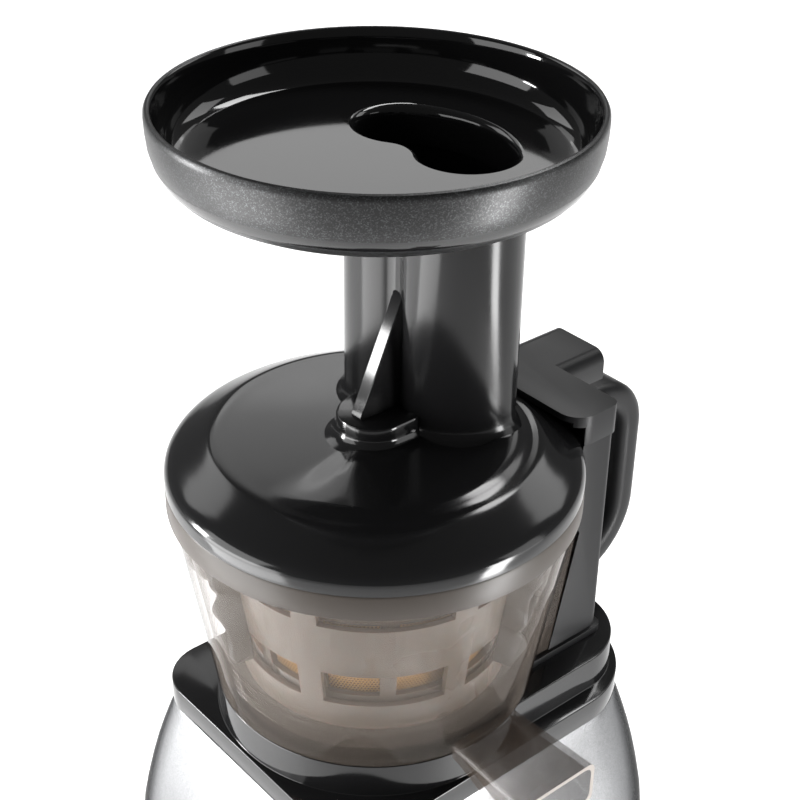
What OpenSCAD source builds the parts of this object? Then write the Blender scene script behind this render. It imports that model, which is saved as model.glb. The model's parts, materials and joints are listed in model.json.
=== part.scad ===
// Vertical cold press juicer: a motor base, a smoked bowl that lifts off it, and a lid
// with a tall feed chute and a round feed tray. Millimetres, +Z up, the front is -Y.
// Every module is drawn about the bowl's own axis and then placed in the object's frame,
// whose origin lies on the floor under the middle of the whole object.

/* [Base] */
// Height of the cap's seam above the floor
base_height = 150; // [135:1:165]
// Half width of the base shell at the seam
base_half_width = 61; // [61:0.5:66]
// Distance from the bowl axis to the front of the base at the seam
base_front = 61; // [61:0.5:66]
// Distance from the bowl axis to the back of the base at the seam
base_back = 92; // [92:0.5:100]
// How far each side leans out on its way down to the floor
base_flare = 22; // [12:1:28]
// Radius of the front corners
front_corner = 18; // [12:1:24]
// Radius of the back corners
back_corner = 34; // [24:1:40]
// Thickness of the moulded walls of the base
base_wall = 3; // [2:0.5:4]
// Height of the black band that caps the base
cap_height = 10; // [8:1:14]
// Height of the collar and the platform above the cap
collar_height = 14; // [10:1:18]
// Height of the rubber feet
foot_height = 4; // [3:0.5:8]
// Radius of a rubber foot
foot_radius = 10; // [8:0.5:12]

/* [Bowl] */
// Outer radius of the bowl where it stands on the collar
bowl_radius_low = 60.5; // [60.5:0.5:61]
// Outer radius of the bowl's wall under its rim
bowl_radius_high = 73.4; // [72:0.2:74]
// Height of the bowl's wall from the collar to the rim
bowl_height = 78; // [74:1:90]
// Thickness of the bowl's wall
bowl_wall = 2.6; // [2:0.2:3]
// Height of the thick rim
rim_height = 10; // [8:1:12]
// Outer radius of the rim and of the lid
rim_radius = 75; // [75:0.5:78]
// How far both outlets reach out from the bowl axis
outlet_reach = 101; // [96:1:110]
// Half width of the pulp spout at the bowl
spout_half_width = 15.5; // [13:0.5:17]
// Radius of the juice nozzle's outside
nozzle_radius = 11; // [9:0.5:11.5]
// Radius of the round cap that closes the juice nozzle
flap_radius = 22; // [18:1:24]

/* [Lid and chute] */
// Height of the lid's flat ring above its lower edge
lid_height = 12; // [10:1:14]
// Height of the lid's raised middle above the flat ring
lid_step = 5; // [3:0.5:7]
// Thickness of the lid and the chute
lid_wall = 3; // [2.4:0.2:3.4]
// Distance from the chute's centre to the centre of each round lobe
lobe_offset = 16; // [14:0.5:18]
// Outer radius of the chute's lobes
lobe_radius = 20.3; // [19:0.1:21]
// Distance from the bowl axis back to the chute's centre
chute_back = 24.5; // [23:0.5:26]
// Depth of the hollow in the chute's front
chute_dip = 5; // [3:0.5:6]
// How far the chute's back bulges past its lobes
chute_bulge = 5; // [3:0.5:6]
// Height of the whole juicer
total_height = 400; // [385:1:430]
// Height of the fin above its boss
fin_height = 44; // [30:1:60]
// Thickness of the fin
fin_thickness = 4.5; // [3:0.5:6]

/* [Tray] */
// Outer radius of the tray's rim
tray_radius = 73; // [66:1:80]
// Depth of the dish
tray_depth = 18.5; // [16:0.5:24]
// Wall of the tray
tray_wall = 2.5; // [2:0.1:3]

/* [Tower and handle] */
// Half width of the tower behind the bowl
tower_half_width = 43; // [40:0.5:46]
// Distance from the bowl axis to the tower's back
tower_back = 79; // [77:0.5:84]
// Thickness of the tower's walls
tower_wall = 3; // [2.4:0.2:4]
// Height of the hood's top above the lid's lower edge
hood_top = 17; // [16:0.5:20]
// Height of the hood's skirt
hood_skirt = 12; // [9:0.5:13]
// Half width of the hood's back arm
hood_arm = 14; // [12:0.5:16]
// Distance from the bowl axis to the handle's back
handle_reach = 132; // [126:1:140]
// Width of the handle
handle_width = 24; // [20:1:26]
// Thickness of the handle's grip
grip_thickness = 12; // [10:0.5:14]

/* [Juicing set] */
// Radius of the auger's flights at the bottom
auger_radius = 41; // [36:0.5:42]
// Outer radius of the strainer at the bottom
strainer_radius = 47; // [46:0.5:48]
// How much the strainer and the brush widen towards the top
basket_flare = 8; // [6:0.5:9]
// Wall of the strainer and the brush frame
basket_wall = 2.4; // [2:0.2:2.8]
// Thickness of a silicone wiper
wiper_thickness = 3; // [2:0.2:4]

/* [Drive] */
// Radius of the motor can
motor_radius = 42; // [36:1:44]
// Length of the motor can
motor_length = 66; // [56:1:68]
// Tooth module of the gearbox
gear_module = 1; // [0.9:0.05:1]
// Teeth of the small wheels in the gearbox
pinion_teeth = 12; // [12:1:12]
// Teeth of the large wheels in the gearbox
wheel_teeth = 48; // [48:4:48]
// Radius of the motor shaft and the wheel pin
shaft_radius = 4; // [3.5:0.25:4]
// Radius of the output shaft
output_radius = 8; // [7:0.25:8]
// Radial clearance of a part that turns on a shaft
running_fit = 0.05; // [0.02:0.01:0.1]
// Clearance between parts that lift off each other
slip_fit = 0.3; // [0.2:0.05:0.4]

/* [Hidden] */

$fn = 96;
hull_faces = 32;
cut = 1;                              // how far a cutting shape runs past what it cuts

// Heights above the floor
cap_top = base_height + cap_height;
collar_top = cap_top + collar_height;
rim_low = collar_top + bowl_height;
lid_low = rim_low + rim_height;
lid_flat = lid_low + lid_height;
lid_top = lid_flat + lid_step;
tray_floor = total_height - tray_depth;
tray_under = tray_floor - tray_wall;
hood_z = lid_low + hood_top;
hood_low = hood_z - hood_skirt;

// The frame: the origin is midway between the outlets' ends, and between the base's front
// edge at the floor and the back of the handle
reach_front = base_front + base_flare;
reach_back = handle_reach;
axis_y = (reach_front - reach_back) / 2;

// The bowl
bowl_floor = collar_top + 2;
bowl_floor_thickness = 3;
bowl_deck = bowl_floor + bowl_floor_thickness;
spigot_depth = 9;
collar_wall = 3.2;
spigot_radius = bowl_radius_low - collar_wall - slip_fit;
function bowl_r(z) = bowl_radius_low
    + (bowl_radius_high - bowl_radius_low) * (z - collar_top) / bowl_height;

// The juicing set
gear_low = bowl_deck + 4;
gear_height = 5;
set_module = 1.6;
set_pinion_teeth = 16;
set_ring_teeth = 48;
set_distance = set_module * set_pinion_teeth;
basket_low = gear_low + gear_height + 2;
basket_top = rim_low - 4;
brush_gap = 1.2;
function basket_r(z) = strainer_radius
    + basket_flare * (z - basket_low) / (basket_top - basket_low);
function brush_r(z) = basket_r(z) + brush_gap + basket_wall;
auger_low = gear_low;
flight_low = basket_low + 3;
flight_top = rim_low - 4;
auger_tip_radius = 5;
hex_radius = output_radius - 0.4;
hex_top = gear_low + 17;
seal_height = 3;

// The drive
pin_radius = shaft_radius - 1;
wheel_distance = gear_module * (pinion_teeth + wheel_teeth) / 2;
motor_low = 24;
motor_top = motor_low + motor_length;
gearbox_low = motor_top + 4;
gearbox_plate = 3;
gearbox_wall = 3;
stage_height = 8;
stage_gap = 3;
stage1_low = gearbox_low + gearbox_plate + 2;
stage2_low = stage1_low + stage_height + stage_gap;
gearbox_top = stage2_low + stage_height + stage_gap;
gearbox_radius = gear_module * (wheel_teeth / 2 + 1) + 2 + gearbox_wall;
bearing_height = 7;
bearing_wall = 5;
seal_low = cap_top - 1;

// The outlets
spout_top = collar_top + 9;
spout_low_root = collar_top + slip_fit;
spout_low_mouth = collar_top - 10;
spout_flare = 2.1;
spout_wall = 2.2;
spout_corner = 4;
nozzle_z = collar_top + nozzle_radius + slip_fit;
nozzle_wall = 2.4;
flap_thickness = 3;
flap_tab = 2.2;
flap_z = nozzle_z - 8;
flange_thickness = 3;
flap_face = outlet_reach - flap_tab - flap_thickness;
flange_face = flap_face - slip_fit;
flap_hinge_z = flap_z + flap_radius + 2.5;
flap_hinge_x = flap_face + flap_thickness / 2 + 1;
hinge_pin_radius = 1.2;

// The chute's outline: two lobes, joined by an arc that bulges at the back and by an arc
// that is hollow at the front. All four arcs meet in tangents.
lobe_front = lobe_radius - chute_dip;
front_arc = (pow(lobe_offset, 2) + pow(lobe_front, 2) - pow(lobe_radius, 2)) / (2 * chute_dip);
front_arc_y = lobe_front + front_arc;
back_arc_y = (pow(lobe_offset, 2) - pow(chute_bulge, 2)) / (2 * chute_bulge);
back_arc = chute_bulge + back_arc_y + lobe_radius;

// Places of repeated fasteners and small parts
foot_x = base_half_width + base_flare - 22;
foot_front = base_front + base_flare - 22;
foot_rear = base_back + base_flare - 22;
screw_radius = 1.6;
screw_head = 3.2;
boss_radius = 7;
damper_ring = motor_radius - 6;
screw_corner = 4;
switch_z = 52;
switch_half_width = 15;
switch_half_height = 10;
switch_depth = 14;
switch_frame = 2;
rocker_swing = 9;
rocker_pin = 1.2;
inlet_z = 34;
tongue_z = lid_low + 1.2;
tongue_height = 2.6;
tongue_reach = 6;
lid_turn = 25;
plunger_radius = 2.2;
plunger_seat = 4.2;
plunger_travel = 2.5;
plunger_x = -33;
plunger_y = tower_back - tower_wall - plunger_seat - 1.3;
plunger_angle = atan2(plunger_y, plunger_x);
plunger_reach = norm([plunger_x, plunger_y]);
spring_low = collar_top + tower_wall + 0.2;
spring_length = 38;
boss_x = 25;
boss_reach = 7.279;
boss_y = sqrt(pow(bowl_radius_low + boss_reach, 2) - pow(boss_x, 2));
boss_low = collar_top + tower_wall + 0.2;
boss_height = 14;

// ---------------------------------------------------------------- shared shapes

// A rounded rectangle about the bowl axis, with its own front and back corner radii
module plan(half_width, front, back, front_r, back_r) {
    for (side = [-1, 1]) {
        translate([side * (half_width - front_r), front_r - front]) circle(front_r);
        translate([side * (half_width - back_r), back - back_r]) circle(back_r);
    }
    translate([-half_width, front_r - front])
        square([2 * half_width, front + back - front_r - back_r]);
    translate([front_r - half_width, -front]) square([2 * (half_width - front_r), front_r]);
    translate([back_r - half_width, back - back_r])
        square([2 * (half_width - back_r), back_r]);
}

// The base's plan at the seam, moved out by grow
module base_plan(grow) {
    plan(base_half_width + grow, base_front + grow, base_back + grow,
        front_corner + grow, back_corner + grow);
}

// How far the side has leaned out at height z: it falls steeply under the cap and stands
// upright at the floor
function lean(z) = base_flare * (1 - pow(z / base_height, 2));

// The flared body as one convex form, drawn in by inset
module flared_body(inset, low, high) {
    steps = 7;
    slice = 0.4;
    hull()
        for (i = [0:steps])
            let (z = low + (high - low - slice) * i / steps)
                translate([0, 0, z]) linear_extrude(slice)
                    base_plan(lean(z) - inset, $fn = hull_faces);
}

// The chute's outline, grown by grow (negative for the inside)
module bean(grow = 0) {
    r = lobe_radius + grow;
    reach = front_arc + lobe_radius;
    slope = sqrt(pow(lobe_offset, 2) + pow(back_arc_y, 2));
    far = 3 * lobe_radius;
    translate([0, chute_back]) {
        for (side = [-1, 1]) translate([side * lobe_offset, 0]) circle(r);
        intersection() {
            translate([0, -back_arc_y]) circle(back_arc + grow);
            polygon([[-lobe_offset, 0], [lobe_offset, 0],
                [lobe_offset + far * lobe_offset / slope, far * back_arc_y / slope],
                [-lobe_offset - far * lobe_offset / slope, far * back_arc_y / slope]]);
        }
        difference() {
            polygon([[-lobe_offset, 0], [lobe_offset, 0],
                [lobe_offset * (1 - r / reach), -front_arc_y * r / reach],
                [-lobe_offset * (1 - r / reach), -front_arc_y * r / reach]]);
            translate([0, -front_arc_y]) circle(front_arc - grow);
        }
    }
}

// A spur wheel's outline: straight flanks with room to turn
module teeth(count, m, tip = 0.9, root = 1.2, tip_part = 0.11, root_part = 0.29) {
    pitch = 360 / count;
    r = m * count / 2;
    polygon([for (i = [0:count - 1], p = [[-root_part, -root], [-tip_part, tip],
            [tip_part, tip], [root_part, -root]])
        let (a = (i + p[0]) * pitch, d = r + p[1] * m) [d * cos(a), d * sin(a)]]);
}

module ring(outer, inner, height) {
    difference() {
        cylinder(r = outer, h = height);
        translate([0, 0, -cut]) cylinder(r = inner, h = height + 2 * cut);
    }
}

// A cone's wall between two heights, from functions of height given as end radii
module cone_wall(low, high, r_low, r_high, wall) {
    rotate_extrude()
        polygon([[r_low - wall, low], [r_low, low], [r_high, high], [r_high - wall, high]]);
}

module at_corners(x, front, back) {
    for (side = [-1, 1]) {
        translate([side * x, -front, 0]) children();
        translate([side * x, back, 0]) children();
    }
}

module at_base_screws() {
    at_corners(foot_x + screw_corner, foot_front + screw_corner, foot_rear - screw_corner - 4)
        children();
}

// The outline of the switch's bezel, deep along +X
module switch_block(grow, depth) {
    half_y = switch_half_width + switch_frame + grow;
    half_z = switch_half_height + switch_frame + grow;
    translate([0, -half_y, -half_z]) cube([depth, 2 * half_y, 2 * half_z]);
}

module in_frame() {
    translate([0, axis_y, 0]) children();
}

// ---------------------------------------------------------------- base

module base_shell() {
    color("silver") in_frame() difference() {
        union() {
            difference() {
                flared_body(0, foot_height, base_height);
                flared_body(base_wall, foot_height - cut, base_height + cut);
            }
            at_base_screws() translate([0, 0, foot_height + base_wall])
                cylinder(r = boss_radius, h = 26);
        }
        at_base_screws() cylinder(r = screw_radius, h = foot_height + base_wall + 18);
        translate([-base_half_width - base_flare - 2, 0, switch_z])
            switch_block(0.2, base_flare + 2);
        translate([0, base_back + base_flare + cut, inlet_z]) rotate([90, 0, 0])
            cylinder(r = 7, h = base_flare);
    }
}

module top_cap() {
    lip = 6;
    platform_half = 55.5;
    color([0.05, 0.05, 0.05]) in_frame() difference() {
        union() {
            translate([0, 0, base_height]) linear_extrude(cap_height) base_plan(1);
            translate([0, 0, base_height - lip]) linear_extrude(lip)
                base_plan(-base_wall - slip_fit);
            translate([0, 0, cap_top]) cylinder(r = bowl_radius_low, h = collar_height);
            translate([0, 0, cap_top]) linear_extrude(collar_height)
                plan(platform_half, 0, base_back - 1, 1, 28);
        }
        translate([0, 0, base_height - lip - cut]) linear_extrude(lip + cap_height - base_wall + cut)
            base_plan(-2 * base_wall);
        translate([0, 0, cap_top + 2])
            cylinder(r = bowl_radius_low - collar_wall, h = collar_height);
        translate([0, 0, base_height]) cylinder(r = output_radius + 4, h = cap_height + cut * 3);
        translate([0, 0, cap_top - cut]) linear_extrude(collar_height - base_wall + cut)
            difference() {
                plan(platform_half - base_wall, 0, base_back - 1 - base_wall, 1, 25);
                circle(bowl_radius_low);
            }
        translate([plunger_x, plunger_y, collar_top - base_wall - cut])
            cylinder(r = plunger_radius + 0.6, h = base_wall + 2 * cut);
    }
}

module bottom_plate() {
    color([0.12, 0.12, 0.12]) in_frame() difference() {
        translate([0, 0, foot_height]) linear_extrude(base_wall)
            base_plan(base_flare - base_wall - slip_fit - 0.1);
        at_base_screws() {
            translate([0, 0, foot_height - cut]) cylinder(r = screw_radius + 0.2, h = 5 * cut);
            translate([0, 0, foot_height - cut]) cylinder(r = screw_head + 0.2, h = 2.5 * cut);
        }
        at_corners(foot_x - 8, foot_front - 4, foot_rear - 4)
            translate([0, 0, foot_height - cut]) cylinder(r = 3, h = 5 * cut);
        translate([0, 0, foot_height - cut]) cylinder(r = 26, h = 5 * cut);
    }
}

module vent_grille() {
    bar = 2;
    color([0.1, 0.1, 0.1]) in_frame() translate([0, 0, foot_height]) {
        ring(26 - slip_fit, 23, base_wall);
        intersection() {
            for (i = [-5:5]) translate([4.4 * i - bar / 2, -24, 0]) cube([bar, 48, bar]);
            cylinder(r = 24, h = base_wall);
        }
    }
}

module rubber_feet() {
    color([0.15, 0.15, 0.15]) in_frame() at_corners(foot_x - 8, foot_front - 4, foot_rear - 4) {
        cylinder(r1 = foot_radius - 1.5, r2 = foot_radius, h = foot_height);
        cylinder(r = 3 - running_fit, h = foot_height + base_wall);
        translate([0, 0, foot_height + base_wall]) cylinder(r1 = 4, r2 = 2.5, h = 2.5);
    }
}

module bottom_screws() {
    color("silver") in_frame() at_base_screws()
        translate([0, 0, foot_height]) {
            cylinder(r = screw_head, h = 1.5);
            cylinder(r = screw_radius - running_fit, h = base_wall + 14);
        }
}

module motor_can() {
    color([0.62, 0.64, 0.66]) in_frame() difference() {
        translate([0, 0, motor_low]) cylinder(r = motor_radius, h = motor_length);
        translate([0, 0, motor_low + 3]) cylinder(r = motor_radius - 2, h = motor_length);
        translate([0, 0, motor_low - cut])
            cylinder(r = shaft_radius + bearing_wall + running_fit, h = 3 + 2 * cut);
        for (i = [0:5]) rotate(60 * i + 30)
            translate([motor_radius - 6, -7, motor_low + 12]) cube([12, 14, 10]);
    }
}

module stator_core() {
    low = motor_low + 10;
    high = motor_top - 10;
    outer = motor_radius - 2 - running_fit;
    color([0.45, 0.33, 0.25]) in_frame() difference() {
        translate([0, 0, low]) ring(outer, motor_radius * 0.62 + 0.6, high - low);
        for (i = [0:11]) rotate(30 * i)
            translate([motor_radius * 0.62 - 1, -1.5, low - cut])
                cube([8, 3, high - low + 2 * cut]);
    }
}

module motor_end_plate() {
    color([0.55, 0.56, 0.58]) in_frame() translate([0, 0, motor_top]) difference() {
        cylinder(r = motor_radius, h = 3);
        translate([0, 0, -cut])
            cylinder(r = shaft_radius + bearing_wall + running_fit, h = 3 + 2 * cut);
    }
}

module bearing(bore, low) {
    outer = bore + bearing_wall;
    race = 1.6;
    color("gainsboro") in_frame() translate([0, 0, low]) {
        ring(outer, outer - race, bearing_height);
        ring(bore + race, bore + running_fit, bearing_height);
        for (i = [0:7]) rotate(45 * i)
            translate([bore + bearing_wall / 2, 0, bearing_height / 2])
                sphere(r = bearing_wall / 2 - race, $fn = 24);
        translate([0, 0, bearing_height / 2 - 0.5])
            ring(outer - race + 0.01, bore + race - 0.01, 1);
    }
}

module lower_bearing() {
    bearing(shaft_radius, motor_low);
}

module upper_bearing() {
    bearing(shaft_radius, motor_top + 3 - bearing_height);
}

module output_bearing() {
    bearing(output_radius, gearbox_top - 2);
}

module motor_dampers() {
    low = foot_height + base_wall;
    color([0.1, 0.1, 0.1]) in_frame() for (i = [0:3]) rotate(90 * i + 45)
        translate([damper_ring, 0, low]) cylinder(r = 5, h = motor_low - low);
}

module gearbox_outline(grow) {
    circle(gearbox_radius + grow);
    translate([0, wheel_distance]) circle(gearbox_radius + grow);
    translate([-gearbox_radius - grow, 0]) square([2 * (gearbox_radius + grow), wheel_distance]);
}

// The places of the gearbox screws, on ears at both sides
module at_gearbox_screws() {
    for (side = [-1, 1], y = [0, wheel_distance])
        translate([side * (gearbox_radius + 3), y, 0]) children();
}

module gearbox_housing() {
    color([0.7, 0.7, 0.72]) in_frame() difference() {
        union() {
            translate([0, 0, gearbox_low]) linear_extrude(gearbox_top - gearbox_low)
                gearbox_outline(0);
            translate([0, 0, gearbox_low]) at_gearbox_screws()
                cylinder(r = 5, h = gearbox_top - gearbox_low);
            translate([0, 0, motor_top + 3]) linear_extrude(gearbox_low - motor_top - 3)
                circle(motor_radius - 8);
        }
        translate([0, 0, gearbox_low + gearbox_plate]) linear_extrude(gearbox_top)
            gearbox_outline(-gearbox_wall);
        translate([0, 0, motor_top]) cylinder(r = shaft_radius + 1, h = 20);
        translate([0, wheel_distance, gearbox_low - cut])
            cylinder(r = pin_radius + 0.01, h = gearbox_plate + 2 * cut);
        at_gearbox_screws() translate([0, 0, gearbox_top - 12])
            cylinder(r = screw_radius, h = 13);
    }
}

module gearbox_cover() {
    color([0.66, 0.66, 0.68]) in_frame() difference() {
        union() {
            translate([0, 0, gearbox_top]) linear_extrude(gearbox_plate) gearbox_outline(0);
            translate([0, 0, gearbox_top]) at_gearbox_screws() cylinder(r = 5, h = gearbox_plate);
            translate([0, 0, gearbox_top]) cylinder(r = output_radius + bearing_wall + 3, h = 7);
        }
        translate([0, 0, gearbox_top - cut])
            cylinder(r = output_radius + bearing_wall + running_fit, h = 20);
        translate([0, wheel_distance, gearbox_top - cut])
            cylinder(r = pin_radius + 0.01, h = 2 + cut);
        at_gearbox_screws() translate([0, 0, gearbox_top - cut])
            cylinder(r = screw_radius + 0.2, h = 20);
    }
}

module gearbox_screws() {
    color("silver") in_frame() at_gearbox_screws() {
        translate([0, 0, gearbox_top - 10])
            cylinder(r = screw_radius - running_fit, h = 10 + gearbox_plate);
        translate([0, 0, gearbox_top + gearbox_plate]) cylinder(r = screw_head, h = 2);
    }
}

module wheel_pin() {
    color("silver") in_frame() translate([0, wheel_distance, gearbox_low])
        cylinder(r = pin_radius, h = gearbox_top - gearbox_low + 1.5);
}

module motor_shaft() {
    color([0.75, 0.75, 0.77]) in_frame() {
        translate([0, 0, 10]) cylinder(r = shaft_radius, h = stage1_low - 10);
        translate([0, 0, stage1_low]) linear_extrude(stage_height)
            teeth(pinion_teeth, gear_module);
    }
}

module rotor_core() {
    color([0.5, 0.42, 0.35]) in_frame() translate([0, 0, motor_low + 12])
        ring(motor_radius * 0.62, shaft_radius, motor_length - 24);
}

module cooling_fan() {
    blade_low = 12;
    color([0.2, 0.2, 0.22]) in_frame() {
        translate([0, 0, blade_low]) ring(9, shaft_radius, 8);
        for (i = [0:8]) rotate(40 * i + 13)
            translate([7, -0.8, blade_low + 0.5]) cube([15.5, 1.6, 7]);
    }
}

module compound_wheel() {
    color([0.85, 0.83, 0.78]) in_frame() translate([0, wheel_distance, 0]) difference() {
        union() {
            translate([0, 0, stage1_low]) linear_extrude(stage_height)
                rotate(-90 + 180 / wheel_teeth) teeth(wheel_teeth, gear_module);
            translate([0, 0, stage1_low + stage_height]) cylinder(r = 5.5, h = stage_gap);
            translate([0, 0, stage2_low]) linear_extrude(stage_height)
                rotate(-90) teeth(pinion_teeth, gear_module);
        }
        translate([0, 0, stage1_low - cut])
            cylinder(r = pin_radius + running_fit, h = 40);
    }
}

module output_gear() {
    color([0.85, 0.83, 0.78]) in_frame() translate([0, 0, stage2_low]) difference() {
        linear_extrude(stage_height) rotate(90 + 180 / wheel_teeth)
            teeth(wheel_teeth, gear_module);
        translate([0, 0, -cut]) cylinder(r = output_radius, h = stage_height + 2 * cut);
    }
}

module output_shaft() {
    color([0.78, 0.78, 0.8]) in_frame() {
        translate([0, 0, stage2_low]) cylinder(r = output_radius, h = gear_low - stage2_low - 1);
        translate([0, 0, gear_low - 1]) cylinder(r = hex_radius, h = hex_top - gear_low + 1, $fn = 6);
    }
}

module shaft_seal() {
    color([0.12, 0.12, 0.12]) in_frame() translate([0, 0, seal_low])
        ring(output_radius + 4 - 0.02, output_radius + running_fit, 3.5);
}

module control_board() {
    wide = 46;
    board_y = base_back - 8;
    color([0.1, 0.35, 0.2]) in_frame() {
        translate([-wide / 2, board_y, foot_height + base_wall])
            cube([wide, 1.6, 84 - foot_height - base_wall]);
        for (i = [-1, 1]) translate([i * wide / 4 - 6, board_y - 7, 34]) cube([12, 7, 12]);
        for (i = [-1, 1]) translate([i * wide / 3, board_y - 10, 76]) rotate([-90, 0, 0])
            cylinder(r = 5, h = 10);
        for (x = [-1, 1], z = [28, 80]) translate([x * (wide / 2 - 4), board_y + 1.6, z])
            rotate([-90, 0, 0]) cylinder(r = 2, h = 5);
    }
}

capacitor_radius = 12;
capacitor_height = 48;
capacitor_x = -48;
capacitor_y = base_back - 26;

module run_capacitor() {
    color([0.2, 0.25, 0.5]) in_frame()
        translate([capacitor_x, capacitor_y, foot_height + base_wall])
            cylinder(r = capacitor_radius, h = capacitor_height);
}

module cord_inlet() {
    color([0.08, 0.08, 0.08]) in_frame()
        translate([0, base_back + lean(inlet_z) + 0.7, inlet_z]) rotate([90, 0, 0]) difference() {
            union() {
                translate([0, 0, -3]) cylinder(r = 9, h = 3);
                translate([0, 0, -6]) cylinder(r1 = 5.5, r2 = 7.5, h = 3);
                cylinder(r = 7 - running_fit, h = 14);
            }
            translate([0, 0, -7]) cylinder(r = 3.5, h = 30);
        }
}

// The switch sits on the left side: face is its outer plane
switch_face = -base_half_width - lean(switch_z - switch_half_height - switch_frame) - 0.6;
switch_pivot = switch_face + 4;

module switch_bezel() {
    inner_y = switch_half_width - switch_frame;
    inner_z = switch_half_height - switch_frame;
    color([0.06, 0.06, 0.06]) in_frame() translate([switch_face, 0, switch_z]) difference() {
        union() {
            switch_block(0, 5);
            switch_block(-switch_frame, switch_depth);
        }
        translate([-cut, -inner_y, -inner_z])
            cube([switch_depth - switch_frame + cut, 2 * inner_y, 2 * inner_z]);
        translate([switch_pivot - switch_face, 0, 0]) rotate([90, 0, 0])
            cylinder(r = rocker_pin + running_fit, h = 2 * inner_y + 2.8, center = true);
    }
}

module rocker() {
    half_y = switch_half_width - switch_frame - 0.6;
    half_z = switch_half_height - switch_frame - 1.4;
    color([0.75, 0.1, 0.08]) in_frame() translate([switch_pivot, 0, switch_z])
        rotate([90, rocker_swing, 0]) {
            translate([0, 0, -half_y]) linear_extrude(2 * half_y)
                polygon([[3, -3], [3, 3], [-2.6, half_z], [-5, half_z - 0.6], [-3.6, 0],
                    [-5, 0.6 - half_z], [-2.6, -half_z]]);
            cylinder(r = rocker_pin, h = 2 * half_y + 3.4, center = true);
        }
}

module interlock_switch() {
    low = cap_top - cut + 0.02;
    color([0.2, 0.2, 0.22]) in_frame() translate([plunger_x, plunger_y, low]) {
        translate([-9, -4, 0]) cube([18, 8, 9.6]);
        cylinder(r = 1.8, h = 11);
    }
}

// ---------------------------------------------------------------- bowl

module bowl() {
    inner_low = bowl_r(bowl_deck) - bowl_wall;
    inner_high = bowl_r(rim_low) - bowl_wall;
    color([0.55, 0.5, 0.47, 0.45]) in_frame() difference() {
        union() {
            rotate_extrude() polygon([
                [spigot_radius - bowl_wall, collar_top - spigot_depth],
                [spigot_radius, collar_top - spigot_depth],
                [spigot_radius, collar_top], [bowl_radius_low - 0.3, collar_top],
                [bowl_r(collar_top + 1), collar_top + 1], [bowl_r(rim_low), rim_low],
                [rim_radius, rim_low], [rim_radius, lid_low - slip_fit],
                [inner_high, lid_low - slip_fit], [inner_high, rim_low],
                [inner_low, bowl_deck], [output_radius + slip_fit, bowl_deck],
                [output_radius + slip_fit, bowl_floor], [spigot_radius - bowl_wall, bowl_floor]]);
            translate([0, 0, bowl_deck - 0.5])
                ring(output_radius + 6, output_radius + slip_fit, gear_low - bowl_deck + 0.2);
            translate([0, 0, bowl_deck - 0.5]) ring(brush_r(basket_low),
                brush_r(basket_low) - basket_wall, gear_low - bowl_deck + 0.2);
            translate([0, set_distance, bowl_deck - 0.5])
                cylinder(r = 6, h = gear_low - bowl_deck + 0.2);
            for (side = [-1, 1]) {
                bowl_flange(side);
                translate([side * boss_x, boss_y, boss_low]) cylinder(r = 4.2, h = boss_height);
                translate([side * boss_x - 2, boss_y - 7.6, boss_low])
                    cube([4, 7, boss_height]);
            }
        }
        for (side = [-1, 1]) translate([side * boss_x, boss_y, boss_low - cut])
            cylinder(r = screw_radius, h = boss_height);
        translate([bowl_r(spout_top) - 9, -spout_half_width + spout_wall, bowl_floor + 0.6])
            cube([20, 2 * (spout_half_width - spout_wall), spout_top - spout_wall - bowl_floor - 0.6]);
        translate([-bowl_r(nozzle_z) - 10, 0, nozzle_z]) rotate([0, 90, 0])
            cylinder(r = nozzle_radius - nozzle_wall, h = 20);
        translate([0, set_distance, bowl_floor + 1]) cylinder(r = 3, h = 10);
        translate([0, 0, bowl_floor - cut])
            ring(output_radius + 4, output_radius - 1, bowl_floor_thickness - seal_height + 2 + cut);
    }
}

// The smoked strips on the bowl's wall that fill the front edges of the tower's sides
flange_depth = 6;
flange_top = rim_low - 17;

module bowl_flange(side) {
    x = tower_half_width - tower_wall;
    low = collar_top + 3.3;
    intersection() {
        rotate_extrude() polygon([[bowl_r(low) - 1, low], [bowl_r(low) + flange_depth, low],
            [bowl_r(flange_top) + flange_depth, flange_top - 8],
            [bowl_r(flange_top) + flange_depth - 3, flange_top - 2],
            [bowl_r(flange_top) - 1, flange_top]]);
        translate([side > 0 ? x : -tower_half_width, 0, collar_top])
            cube([tower_wall, rim_radius, bowl_height]);
    }
}

module bowl_seal() {
    color([0.85, 0.85, 0.85]) in_frame() translate([0, 0, bowl_floor])
        ring(output_radius + 4, output_radius + running_fit, 2);
}

// One upright slice of the pulp spout at distance x, drawn in by inset
module spout_slice(x, half, low, high, inset) {
    r = spout_corner - inset;
    translate([x, 0, 0]) rotate([90, 0, 90]) linear_extrude(0.2)
        for (side = [-1, 1], z = [low + spout_corner, high - spout_corner])
            translate([side * (half - spout_corner), z]) circle(r, $fn = hull_faces);
}

module spout_form(inset, extra) {
    start = bowl_radius_low - 4;
    root = bowl_radius_low + 4;
    hull() {
        spout_slice(start - extra, spout_half_width, spout_low_root, spout_top, inset);
        spout_slice(root, spout_half_width, spout_low_root, spout_top, inset);
        spout_slice(outlet_reach - 0.2 + extra, spout_half_width + spout_flare,
            spout_low_mouth, spout_top, inset);
    }
}

module pulp_spout() {
    color([0.35, 0.3, 0.27, 0.5]) in_frame() difference() {
        spout_form(0, 0);
        spout_form(spout_wall, 1);
        translate([0, 0, collar_top - 20]) cylinder(r = bowl_radius_low + 0.3, h = 20);
        rotate_extrude() polygon([[0, collar_top - 1], [bowl_r(collar_top) + 0.1, collar_top - 1],
            [bowl_r(rim_low) + 0.1, rim_low], [0, rim_low]]);
    }
}

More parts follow.
